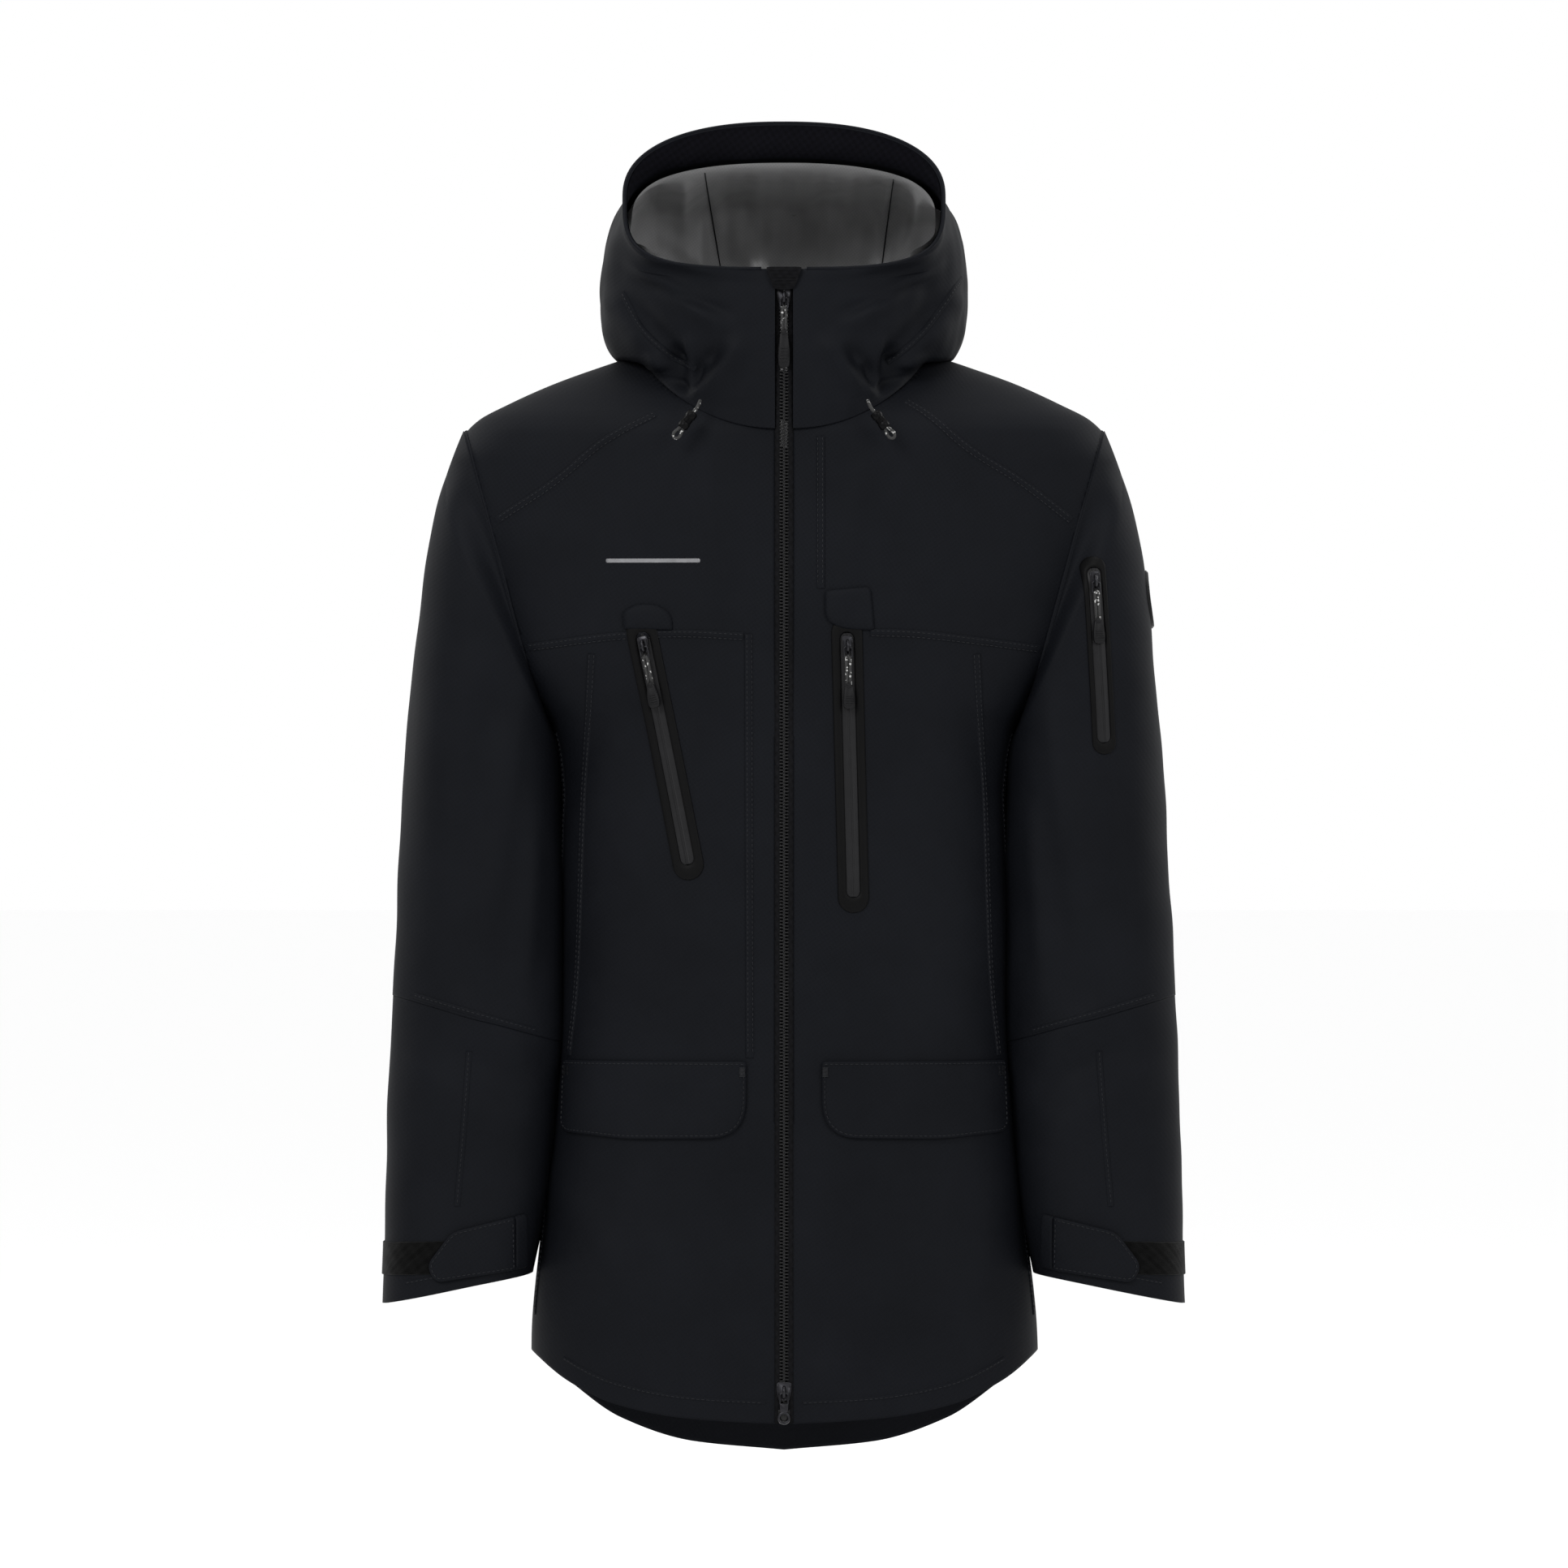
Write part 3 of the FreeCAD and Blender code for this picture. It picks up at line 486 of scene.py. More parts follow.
def hood_points(first, last, rows, inset, folds=hood_folds):
    """Rings of the hood between two places, moved in by inset. Turn 0 is the centre front."""
    points = []
    for k in np.linspace(first, last, rows):
        steps = (k, max(k - 0.02, 0), min(k + 0.02, RIM))
        here, before, after = (np.stack(hood_ring(at, HOOD_TURN), 1) for at in steps)
        normal = np.cross(np.roll(here, -1, 0) - np.roll(here, 1, 0), after - before)
        normal = normal / (np.linalg.norm(normal, axis=1)[:, None] + 1e-9)
        fade = (1 - ease(k, last - 1.0, last)) * ease(k, 0.0, 0.8)
        lift = folds(here[:, 0], here[:, 1], here[:, 2]) * fade - inset
        points.append(here + normal * np.asarray(lift)[:, None])
    return np.concatenate(points)


# ---- materials ----
def nodes_of(name):
    mat = bpy.data.materials.new(name)
    mat.use_nodes = True
    return mat, mat.node_tree, mat.node_tree.nodes["Principled BSDF"]


def fill(tree, node, **values):
    """Sets a node's inputs, whose names start with in_, to values or sockets, and its own settings."""
    for key, value in values.items():
        if not key.startswith("in_"):
            setattr(node, key, value)
            continue
        place = node.inputs[int(key[3:]) if key[3:].isdigit() else key[3:].replace("_", " ")]
        if isinstance(value, bpy.types.NodeSocket):
            tree.links.new(value, place)
        else:
            place.default_value = value


def add(tree, kind, output, **values):
    """A filled node's output socket."""
    node = tree.nodes.new("ShaderNode" + kind)
    fill(tree, node, **values)
    return node.outputs[output]


def two_tones(tree, cloud, dark, light, top):
    ramp = tree.nodes.new("ShaderNodeValToRGB")
    ends = ramp.color_ramp.elements
    ends[0].position, ends[1].position = 0.3, top
    ends[0].color, ends[1].color = (*dark, 1), (*light, 1)
    fill(tree, ramp, in_Fac=cloud)
    return ramp.outputs["Color"]


def fabric(name, dark, light, rough, pitch, sheen, bump=0.25, gloss=0.12, tint=0.35):
    """Woven cloth: two close colours in soft patches, thread relief and a sheen."""
    mat, tree, shader = nodes_of(name)
    coords = add(tree, "TexCoord", "Object")
    cloud = add(tree, "TexNoise", "Fac", in_Vector=coords, in_Scale=1 / (26.0 * MM) / 3, in_Detail=5.0,
                in_Roughness=0.6)
    leaning = add(tree, "Mapping", "Vector", in_Vector=coords, in_Rotation=(0, 0.6, 0))
    waves = [add(tree, "TexWave", "Fac", wave_type="BANDS", bands_direction=axis, in_Vector=leaning,
                 in_Scale=1 / (pitch * MM) / 20, in_Distortion=0.6, in_Detail=1.0) for axis in ("X", "Z")]
    threads = add(tree, "Math", 0, operation="ADD", in_0=waves[0], in_1=waves[1])
    patches = two_tones(tree, cloud, dark, light, 0.75)
    woven = add(tree, "MixRGB", "Color", blend_type="MULTIPLY",
                in_Fac=tint, in_Color1=patches, in_Color2=threads)
    relief = add(tree, "Bump", "Normal", in_Strength=bump, in_Distance=0.2 * MM, in_Height=threads)
    crease = add(tree, "TexNoise", "Fac", in_Vector=coords, in_Scale=55.0, in_Detail=6.0, in_Roughness=0.55)
    soft = add(tree, "Bump", "Normal",
               in_Strength=0.35, in_Distance=0.8 * MM, in_Height=crease, in_Normal=relief)
    spread = add(tree, "MapRange", "Result", in_Value=cloud, in_To_Min=rough - 0.07, in_To_Max=rough + 0.07)
    fill(tree, shader, in_Base_Color=woven, in_Normal=soft, in_Roughness=spread, in_Sheen_Weight=sheen,
         in_Specular_IOR_Level=gloss)
    return mat


def plain(name, colour, rough, metallic=0.0, coat=0.0, gloss=0.5, grain=0.0, grain_size=0.4):
    """Plastic, rubber or metal with small changes of roughness, and an optional fine grain."""
    mat, tree, shader = nodes_of(name)
    coords = add(tree, "TexCoord", "Object")
    cloud = add(tree, "TexNoise", "Fac", in_Vector=coords, in_Scale=90.0, in_Detail=5.0, in_Roughness=0.65)
    spread = add(tree, "MapRange", "Result", in_Value=cloud, in_To_Min=max(rough - 0.1, 0.05),
                 in_To_Max=min(rough + 0.12, 1.0))
    tones = two_tones(tree, cloud, [c * 0.8 for c in colour], [c * 1.15 for c in colour], 0.72)
    if grain:
        fine = add(tree, "TexNoise", "Fac",
                   in_Vector=coords, in_Scale=1 / (grain_size * MM) / 3, in_Detail=3.0)
        relief = add(tree, "Bump", "Normal", in_Strength=grain, in_Distance=0.3 * MM, in_Height=fine)
        fill(tree, shader, in_Normal=relief)
    fill(tree, shader, in_Base_Color=tones, in_Roughness=spread, in_Metallic=metallic, in_Coat_Weight=coat,
         in_Specular_IOR_Level=gloss)
    return mat


def flecked_cord():
    """Black braid with white flecks."""
    mat, tree, shader = nodes_of("cord_flecked")
    cells = tree.nodes.new("ShaderNodeTexVoronoi")
    fill(tree, cells, in_Vector=add(tree, "TexCoord", "Object"), in_Scale=1 / (1.3 * MM))
    pick = add(tree, "SeparateColor", "Red", in_Color=cells.outputs["Color"])
    chosen = add(tree, "Math", "Value", operation="GREATER_THAN", in_0=pick, in_1=0.90)
    flecks = add(tree, "MixRGB", "Color", in_Fac=chosen, in_Color1=(0.0010, 0.0010, 0.0010, 1),
                 in_Color2=(0.22, 0.22, 0.215, 1))
    relief = add(tree, "Bump", "Normal",
                 in_Strength=0.8, in_Distance=0.3 * MM, in_Height=cells.outputs["Distance"])
    fill(tree, shader, in_Base_Color=flecks, in_Normal=relief, in_Roughness=0.8)
    return mat


SHELL = fabric("shell_fabric", (0.0017, 0.0020, 0.0029), (0.0028, 0.0032, 0.0044),
               0.66, 0.45, 0.0, 0.15, 0.045, 0.12)
FACING = fabric("facing_fabric", (0.0016, 0.0016, 0.0026), (0.0026, 0.0026, 0.0040),
                0.75, 0.7, 0.0, gloss=0.05)
SATIN = fabric("lining_satin", (0.165, 0.165, 0.167), (0.25, 0.25, 0.253), 0.30, 0.30, 0.1, 0.06, 0.5, 0.1)
TWILL = fabric("zip_twill", (0.0012, 0.0012, 0.0015), (0.0024, 0.0024, 0.0029), 0.8, 0.8, 0.0, 0.8, 0.05)
PILE = fabric("loop_pile", (0.0006, 0.0006, 0.0006), (0.0022, 0.0022, 0.0022), 0.95, 1.3, 0.05, 1.0, 0.02)
THREAD = fabric("stitch_thread", (0.0032, 0.0036, 0.0048), (0.0052, 0.0057, 0.0072),
                0.55, 0.4, 0.0, gloss=0.15)
TEETH = plain("zip_plastic", (0.0016, 0.0016, 0.0019), 0.26, gloss=0.16)
COATED = plain("zip_coated", (0.0044, 0.0044, 0.0049), 0.45, gloss=0.11, grain=0.15)
WELD = plain("weld_film", (0.0009, 0.0009, 0.0010), 0.55, gloss=0.05, grain=0.12, grain_size=0.9)
METAL = plain("slider_metal", (0.016, 0.016, 0.018), 0.36, metallic=1.0, coat=0.06)
RUBBER = plain("pull_rubber", (0.0030, 0.0030, 0.0034), 0.5, gloss=0.09, grain=0.3)
LOCK = plain("lock_plastic", (0.0008, 0.0008, 0.0010), 0.42, gloss=0.05, grain=0.1)
REFLECT = plain("reflective_film", (0.10, 0.10, 0.105), 0.4, gloss=0.4, grain=0.2)
CORD = flecked_cord()


def finish(obj, body, slot, *nodes):
    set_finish(obj, slot)
    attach(obj, body)
    if nodes:
        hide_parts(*nodes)


def bend(obj, slot, bodies, start, end, *nodes):
    """Cloth given its finish slot and its placement baked in, tied to no body; bodies, start and end are not
    used.
    """
    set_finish(obj, slot)
    if nodes:
        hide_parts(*nodes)
    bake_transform(obj)


# ---- the body's fabric ----
shell_piece = piece("body_fabric", body_points(), grid_faces(ROWS, TURNS, True), SHELL)
open_body(shell_piece)
thicken(shell_piece, 2.2)
PAIRED_PANELS = ("front_panel_", "chest_yoke_", "shoulder_yoke_", "side_panel_")
finish(shell_piece, "torso", "shell_fabric", "back_panel", "back_yoke",
       *(panel + name for panel in PAIRED_PANELS for name, _ in SIDES))

# ---- sleeves ----
ELBOW_RING, UPPER_ROWS, LOWER_ROWS = 4.18, 230, 130
ARM_END = len(ARM_RINGS) - 1
# Start and end places on the wearer's left arm, in metres, given to bend.
SHOULDER_BEND = ((0.2175, -0.08, -0.1423), (0.2325, -0.08, -0.1463))
ELBOW_BEND = ((0.24, -0.10, -0.475), (0.24, -0.10, -0.53))


def mirrored(places, side):
    return [(side * x, y, z) for x, y, z in places]


for name, side in SIDES:
    upper = piece("sleeve_fabric_" + name, arm_points(side, 0.0, ELBOW_RING, UPPER_ROWS, 0.0),
                  grid_faces(UPPER_ROWS, RING_TURNS, True), SHELL)
    thicken(upper, 2.0 * side)
    bend(upper, "shell_fabric", ("torso", "sleeve_" + name), *mirrored(SHOULDER_BEND, side), "sleeve_" + name)
    piping = tube(arm_points(side, 0.0, 0.0, 1, 0.6), 1.7, 10, True)
    finish(piece("armhole_seam_" + name, *piping, SHELL), "torso", "shell_fabric")
    lower = piece("forearm_fabric_" + name, arm_points(side, ELBOW_RING, ARM_END, LOWER_ROWS, 0.4),
                  grid_faces(LOWER_ROWS, RING_TURNS, True), SHELL)
    thicken(lower, 2.0 * side)
    bend(lower, "shell_fabric", ("sleeve_" + name, "forearm_" + name), *mirrored(ELBOW_BEND, side),
         "forearm_" + name)

# ---- hood ----
HOOD_BEND = (("torso", "hood"), (0, 0.058, 0.030), (0, 0.081, 0.127))     # from the hood's base up, in metres
FACING_DEEP, FACING_ROWS = 0.82, 40
hood = piece("hood_fabric", hood_points(0.0, RIM, HOOD_ROWS, 0.0),
             grid_faces(HOOD_ROWS, HOOD_TURNS, True), SHELL)
cut_channel(hood, CHANNEL_HALF - LAP, -125.0)
thicken(hood, 2.0)
bend(hood, "shell_fabric", *HOOD_BEND, "hood_crown", "hood_side_right", "hood_side_left", "hood_brim",
     "collar_right", "collar_left")
hood_lining = piece("hood_lining_satin", hood_points(1.9, RIM - 0.8, HOOD_ROWS, 8.0, lining_folds),
                    grid_faces(HOOD_ROWS, HOOD_TURNS, True), SATIN)
keep_faces(hood_lining, lambda p: abs(p.x) > CHANNEL_HALF + 3 or p.y > -120)
cut_plane(hood_lining, (0, -177.0, 56.0), (0, -126.0, 81.0), lambda p: p.z > 30)
bend(hood_lining, "lining_satin", *HOOD_BEND, "hood_lining")
facing = piece("hood_facing", hood_points(RIM - FACING_DEEP, RIM, FACING_ROWS, 2.6),
               grid_faces(FACING_ROWS, HOOD_TURNS, True), FACING)
keep_faces(facing, lambda p: abs(p.x) > CHANNEL_HALF + 3 or p.y > -150)
bend(facing, "facing_fabric", *HOOD_BEND)

# ---- small parts ----
def skin_of(*objects):
    """A search tree over some pieces, for laying trims on them."""
    points, faces = [], []
    for obj in objects:
        start = len(points)
        points += [v.co.copy() for v in obj.data.vertices]
        faces += [[start + i for i in p.vertices] for p in obj.data.polygons]
    return BVHTree.FromPolygons(points, faces)


def cast(skin, place, heading=(0, 1, 0)):
    """Where a ray that comes in from far outside meets a skin, with the outward normal."""
    heading = Vector(heading).normalized()
    start = Vector(place) - heading * 300.0
    hit, normal, _, _ = skin.ray_cast(start * MM, heading, 0.6)
    if hit is None:
        return Vector(place), -heading
    if normal.dot(heading) > 0:
        normal = -normal
    return hit / MM, normal


def taken(work):
    """Points and faces of a bmesh, which is freed."""
    bmesh.ops.recalc_face_normals(work, faces=work.faces[:])
    work.verts.index_update()
    shape = ([v.co.copy() for v in work.verts], [tuple(v.index for v in f.verts) for f in work.faces])
    work.free()
    return shape


def block(x0, x1, y0, y1, z0, z1, bevel=0.3, segments=2):
    """A box with rounded edges."""
    work = bmesh.new()
    bmesh.ops.create_cube(work, size=1.0)
    low, high = Vector((x0, y0, z0)), Vector((x1, y1, z1))
    for v in work.verts:
        v.co = (low + high) / 2 + v.co * (high - low)
    bmesh.ops.bevel(work, geom=work.edges[:], offset=bevel, segments=segments, affect="EDGES", profile=0.5)
    return taken(work)


def plate(outline, y0, y1, bevel=0.3, segments=2):
    """A flat part with an outline in X and Z, from y0 out to y1, with rounded edges."""
    work = bmesh.new()
    near = [work.verts.new((x, y0, z)) for x, z in outline]
    far = [work.verts.new((x, y1, z)) for x, z in outline]
    count = len(outline)
    work.faces.new(near)
    work.faces.new(far[::-1])
    for i in range(count):
        work.faces.new((near[i], far[i], far[(i + 1) % count], near[(i + 1) % count]))
    rims = [e for e in work.edges if abs(e.verts[0].co.y - e.verts[1].co.y) < 1e-6]
    bmesh.ops.bevel(work, geom=rims, offset=bevel, segments=segments, affect="EDGES", profile=0.5)
    return taken(work)


def rounded(corners, radius, steps=6):
    """A closed outline with its corners rounded."""
    out = []
    count = len(corners)
    for i, corner in enumerate(corners):
        here = Vector(corner)
        before, after = Vector(corners[i - 1]) - here, Vector(corners[(i + 1) % count]) - here
        r = radius[i] if isinstance(radius, (list, tuple)) else radius
        cut = min(r, before.length * 0.48, after.length * 0.48)
        a, b = here + before.normalized() * cut, here + after.normalized() * cut
        for t in np.linspace(0, 1, steps):
            out.append(tuple(a * (1 - t) ** 2 + here * 2 * t * (1 - t) + b * t * t))
    return out


def sided(corners, side):
    """Corners in X and Z for the wearer's left, or mirrored for the right."""
    return [(side * x, z) for x, z in corners]


def circle(radius, count=64):
    turn = np.linspace(0, 2 * math.pi, count, endpoint=False)
    return [(radius * math.cos(a), radius * math.sin(a)) for a in turn]


def frame_at(top, down, across):
    """Local X towards the wearer's right, Y out of the fabric and Z up along the zip."""
    up = -Vector(down)
    across = Vector(across)
    side = (up * across.dot(up) - across).normalized()
    out = up.cross(side)
    return Matrix(((side.x, out.x, up.x, top[0]), (side.y, out.y, up.y, top[1]),
                   (side.z, out.z, up.z, top[2]), (0, 0, 0, 1)))


# ---- the main zip ----
PITCH, TEETH_TOP, TEETH_BOTTOM, TAPE_ROWS = 2.5, 68.0, -780.0, 360
DOWN = Vector((0, -FRONT_SLOPE, -1)).normalized()
for name, side in SIDES:
    rows = []
    for z in np.linspace(83.0, ZIP_BOTTOM_Z, TAPE_ROWS):
        for x, out in ((3.0, -1.0), (3.4, -0.7), (5.2, -0.6), (6.2, -1.1), (7.0, -2.9), (15.0, -4.6)):
            rows.append((side * x, front_y(z) - out - 1.4, z))
    tape = piece("zip_tape_fabric_" + name, rows, grid_faces(TAPE_ROWS, 6, False), TWILL)
    thicken(tape, 0.8 * side)
    finish(tape, "torso", "zip_twill", "zip_tape_" + name)
    teeth = Heap()
    tooth = block(0.0, 4.4, -1.5, 1.1, -0.58, 0.58)
    for i in range(int((TEETH_TOP - TEETH_BOTTOM) / PITCH)):
        z = TEETH_TOP - PITCH * (i + (0.5 if side > 0 else 0.0))
        shift = Matrix.Translation((-0.9 * side, front_y(z) - 0.6, z))
        teeth.put(tooth, shift @ Matrix.Diagonal((side, 1, 1, 1)))
    finish(teeth.make("zip_tooth_row_" + name, TEETH), "torso", "zip_plastic", "zip_teeth_" + name)


# ---- sliders and pulls ----
BRIDGE_OUT, BRIDGE_Z = 4.3, -8.5


def slider_parts(half, length):
    """A slider's body with its side rails and its bridge, as one shape."""
    heap = Heap()
    outline = rounded([(-half, 0), (half, 0), (half * 0.98, -length * 0.35), (half * 0.7, -length),
                       (-half * 0.7, -length), (-half * 0.98, -length * 0.35)], [1.6, 1.6, 3, 1.0, 1.0, 3])
    heap.put(plate(outline, 0.2, 2.2, 0.5, 3))
    for side in (-1, 1):
        rail = [(side * half * 0.92, 2.0, -0.8), (side * half * 0.9, 2.1, -length * 0.36),
                (side * half * 0.64, 2.0, -length + 0.7)]
        straight = [Vector(rail[0]).lerp(Vector(rail[1]), t) for t in (0, 0.5, 1)]
        heap.put(tube(straight + [Vector(rail[2])], 0.6, 10))
    arch = [(0, 1.6 + 5.2 * math.sin(t) ** 0.6, -7.7 + 4.3 * math.cos(t))
            for t in np.linspace(0, math.pi, 18)]
    heap.put(tube(arch, 1.15))
    return heap.points, heap.faces


def loop_path(half, top, bottom, out, radius=1.6):
    corners = [(-half, top), (half, top), (half, bottom), (-half, bottom)]
    return [(x, out, z) for x, z in rounded(corners, radius, 7)]


def cord_pull_parts(cord, tab):
    """A pull's ring, cord and rubber tab."""
    ring, strand, rubber = Heap(), Heap(), Heap()
    ring.put(tube(loop_path(3.0, BRIDGE_Z, BRIDGE_Z - 8.0, BRIDGE_OUT), 0.65, 10, True))
    top = BRIDGE_Z - 7.4
    end = BRIDGE_Z - 9.2 - cord
    for side in (-1, 1):
        path = [(side * w, BRIDGE_OUT + out, z) for w, out, z in
                ((0.5, 0.9, top + 0.3), (1.25, 0.5, top - 1.6), (1.5, 0.1, top - cord * 0.3),
                 (1.25, 0, top - cord * 0.6), (1.1, 0, end - 1.5))]
        strand.put(tube(path, 1.25))
    strand.put(tube([(x, BRIDGE_OUT + 0.9, top + 0.3) for x in (-0.6, 0.6)], 1.25))
    outline = rounded([(-2.7, end), (2.7, end), (4.6, end - tab * 0.62), (3.9, end - tab), (-3.9, end - tab),
                       (-4.6, end - tab * 0.62)], [1.2, 1.2, 6, 2.2, 2.2, 6])
    rubber.put(plate(outline, BRIDGE_OUT - 1.7, BRIDGE_OUT + 1.7, 0.7, 3))
    for k in range(5):
        z = end - tab * 0.45 - k * tab * 0.095
        wide = 2.6 + 0.2 * k
        rubber.put(block(-wide, wide, BRIDGE_OUT + 1.2, BRIDGE_OUT + 2.2, z - 0.45, z + 0.45))
    rubber.put(block(-1.9, 1.9, BRIDGE_OUT - 2.1, BRIDGE_OUT + 2.1, end - 2.4, end + 1.6, 0.6))
    return ring, strand, rubber


def put_slider(name, frame, half, length):
    slider = Heap()
    slider.put(slider_parts(half, length), frame)
    finish(slider.make(name + "_slider_body", METAL), name + "_slider", "slider_metal", name + "_slider")


def put_zip_head(name, frame, half, length, cord, tab):
    """The slider and its cord pull, each on its own body."""
    put_slider(name, frame, half, length)
    looks = (("ring", METAL, "slider_metal"), ("cord", CORD, "zip_twill"), ("tab", RUBBER, "pull_rubber"))
    for heap, (part, mat, slot) in zip(cord_pull_parts(cord, tab), looks):
        whole = Heap()
        whole.put((heap.points, heap.faces), frame)
        finish(whole.make(name + "_pull_" + part, mat), name + "_pull", slot,
               *([name + "_pull"] if part == "tab" else []))


UPPER_SLIDER_Z, LOWER_SLIDER_Z = 72.0, -763.0
upper_frame = frame_at((0, front_y(UPPER_SLIDER_Z), UPPER_SLIDER_Z), DOWN, (1, 0, 0))
lower_frame = frame_at((0, front_y(LOWER_SLIDER_Z), LOWER_SLIDER_Z), DOWN, (1, 0, 0))
put_zip_head("main_upper", upper_frame, 5.6, 14.0, 17.0, 27.0)
put_slider("main_lower", lower_frame, 5.6, 14.0)
hook = Heap()
hook.put(tube(loop_path(3.0, BRIDGE_Z, BRIDGE_Z - 8.5, BRIDGE_OUT), 0.75, 10, True), lower_frame)
hook.put(plate(rounded([(-3.3, BRIDGE_Z - 7.6), (3.3, BRIDGE_Z - 7.6), (2.6, BRIDGE_Z - 15.0),
                        (-2.6, BRIDGE_Z - 15.0)], 1.0), BRIDGE_OUT - 0.8, BRIDGE_OUT + 0.8, 0.4), lower_frame)
ring_path = [(x, BRIDGE_OUT, BRIDGE_Z - 18.6 + z) for x, z in circle(3.9, 28)]
hook.put(tube(ring_path, 1.15, 12, True), lower_frame)
finish(hook.make("main_lower_pull_ring", METAL), "main_lower_pull", "slider_metal", "main_lower_pull")

# the retainer box and pin at the zip's foot
foot = Heap()
for half, z0, z1, out in ((4.6, -792.5, -784.0, 2.0), (3.4, -784.4, -780.0, 1.4)):
    foot.put(block(-half, half, front_y(z0) - out, front_y(z0) + 1.6, z0, z1, 0.5, 3))
finish(foot.make("zip_foot", TEETH), "torso", "zip_plastic", "zip_retainer_box")


# ---- trims laid on the fabric ----
BODY_SKIN = skin_of(shell_piece)
HOOD_SKIN = skin_of(hood)
ARM_SKIN, CUFF_SKIN = ({name: skin_of(bpy.data.objects[part + name]) for name, _ in SIDES}
                       for part in ("sleeve_fabric_", "forearm_fabric_"))
FRONT = Matrix.Diagonal((1, -1, 1, 1))       # local Y points out of the front


def footing(skin, frame, u, v):
    """Where a skin is met by looking into it along the frame's local Y, with its normal."""
    out = (frame.to_3x3() @ Vector((0, 1, 0))).normalized()
    return cast(skin, frame @ Vector((u, 0, v)), -out)


def laid(skin, frame, u, v, height):
    """A point at a height over a skin."""
    hit, normal = footing(skin, frame, u, v)
    return hit + normal * height


def centre_of(outline):
    return Vector([sum(values) / len(outline) for values in zip(*outline)])


def distances(path):
    """How far along a path each of its points lies."""
    return np.concatenate([[0], np.cumsum([(q - p).length for p, q in zip(path, path[1:])])])


def smooth_path(corners, step):
    """Evenly spaced points of a rounded curve through corners."""
    corners = [Vector(c) for c in corners]
    ends = [corners[0] * 2 - corners[1]] + corners + [corners[-1] * 2 - corners[-2]]
    fine = []
    for i in range(1, len(ends) - 2):
        a, b, c, d = ends[i - 1:i + 3]
        for t in np.linspace(0, 1, 40, endpoint=False):
            fine.append(0.5 * (2 * b + (c - a) * t + (2 * a - 5 * b + 4 * c - d) * t * t
                               + (3 * b - a - 3 * c + d) * t ** 3))
    fine.append(corners[-1])
    run = distances(fine)
    count = max(int(run[-1] / step), 2)
    at = np.linspace(0, run[-1], count + 1)
    table = np.array([tuple(p) for p in fine])
    return [Vector(tuple(np.interp(a, run, table[:, k]) for k in range(table.shape[1]))) for a in at]


def stitches(heap, path, normals, length=2.6, pitch=3.9, width=0.6):
    """Thread dashes along a path of points with their normals."""
    run = distances(path)
    spots = np.array([tuple(p) for p in path])
    turned = np.array([tuple(n) for n in normals])
    at = pitch / 2
    while at < run[-1] - pitch / 2:
        a = Vector([np.interp(at - length / 2, run, spots[:, k]) for k in range(3)])
        b = Vector([np.interp(at + length / 2, run, spots[:, k]) for k in range(3)])
        normal = Vector([np.interp(at, run, turned[:, k]) for k in range(3)]).normalized()
        aside = (b - a).normalized().cross(normal) * width / 2
        low, high = normal * -0.35, normal * 0.32
        inner = (b - a) * 0.16
        heap.put(([a - aside + low, a + aside + low, b + aside + low, b - aside + low,
                   a - aside * 0.6 + high + inner, a + aside * 0.6 + high + inner,
                   b + aside * 0.6 + high - inner, b - aside * 0.6 + high - inner],
                  [(4, 5, 6, 7), (0, 1, 5, 4), (1, 2, 6, 5), (2, 3, 7, 6), (3, 0, 4, 7), (3, 2, 1, 0)]))
        at += pitch


def seam(welts, threads, corners, skin, heading, turned=1, width=6.5, rise=1.0, rows=(1.6, 5.2)):
    """A felled seam along corners: a raised lap on one side, with rows of stitching."""
    guide = smooth_path(corners, 3.0)
    found = [cast(skin, p, heading) for p in guide]
    profile = [(-0.4, -0.5), (0.0, rise * 0.75), (0.7, rise), (width * 0.6, rise * 0.75),
               (width - 0.6, rise * 0.55), (width, -0.5)]
    points, lines = [], {row: ([], []) for row in rows}
    for i, (hit, normal) in enumerate(found):
        before, after = found[max(i - 1, 0)][0], found[min(i + 1, len(found) - 1)][0]
        along = (after - before).normalized()
        aside = along.cross(normal).normalized() * turned
        for offset, height in profile:
            at, up = cast(skin, hit + aside * offset, heading)
            points.append(at + up * height)
        for row in rows:
            at, up = cast(skin, hit + aside * row, heading)
            lines[row][0].append(at + up * (rise * 0.85))
            lines[row][1].append(up)
    welts.put((points, grid_faces(len(found), len(profile), False)))
    for path, normals in lines.values():
        stitches(threads, path, normals)


def patch(skin, frame, outline, height, edge=1.2, rings=12, lowest=-0.6, wave=0.0):
    """A panel with an outline in a frame's X and Z, following a skin at a height."""
    middle = centre_of(outline)
    reach = min((Vector(o) - middle).length for o in outline)
    steps = [(1.0, lowest), (1.0, height * 0.55), (1 - edge * 0.35 / reach, height * 0.9),
             (1 - edge / reach, height)]
    steps += [(f, height) for f in np.linspace(1 - edge / reach, 0.02, rings)[1:]]
    points = []
    for share, lift in steps:
        for u, v in outline:
            a, b = middle.x + (u - middle.x) * share, middle.y + (v - middle.y) * share
            rise = lift + (wave * float(noise(a, b, 45, 71)) if lift > 0 else 0)
            points.append(laid(skin, frame, a, b, rise))
    faces = grid_faces(len(steps), len(outline), True)
    last = (len(steps) - 1) * len(outline)
    faces.append(tuple(last + k for k in range(len(outline))))
    return points, faces


def dense(outline, step=4.0):
    """An outline with its long sides divided."""
    out = []
    for a, b in zip(outline, outline[1:] + outline[:1]):
        count = max(int((Vector(b) - Vector(a)).length / step), 1)
        out += [tuple(Vector(a).lerp(Vector(b), k / count)) for k in range(count)]
    return out


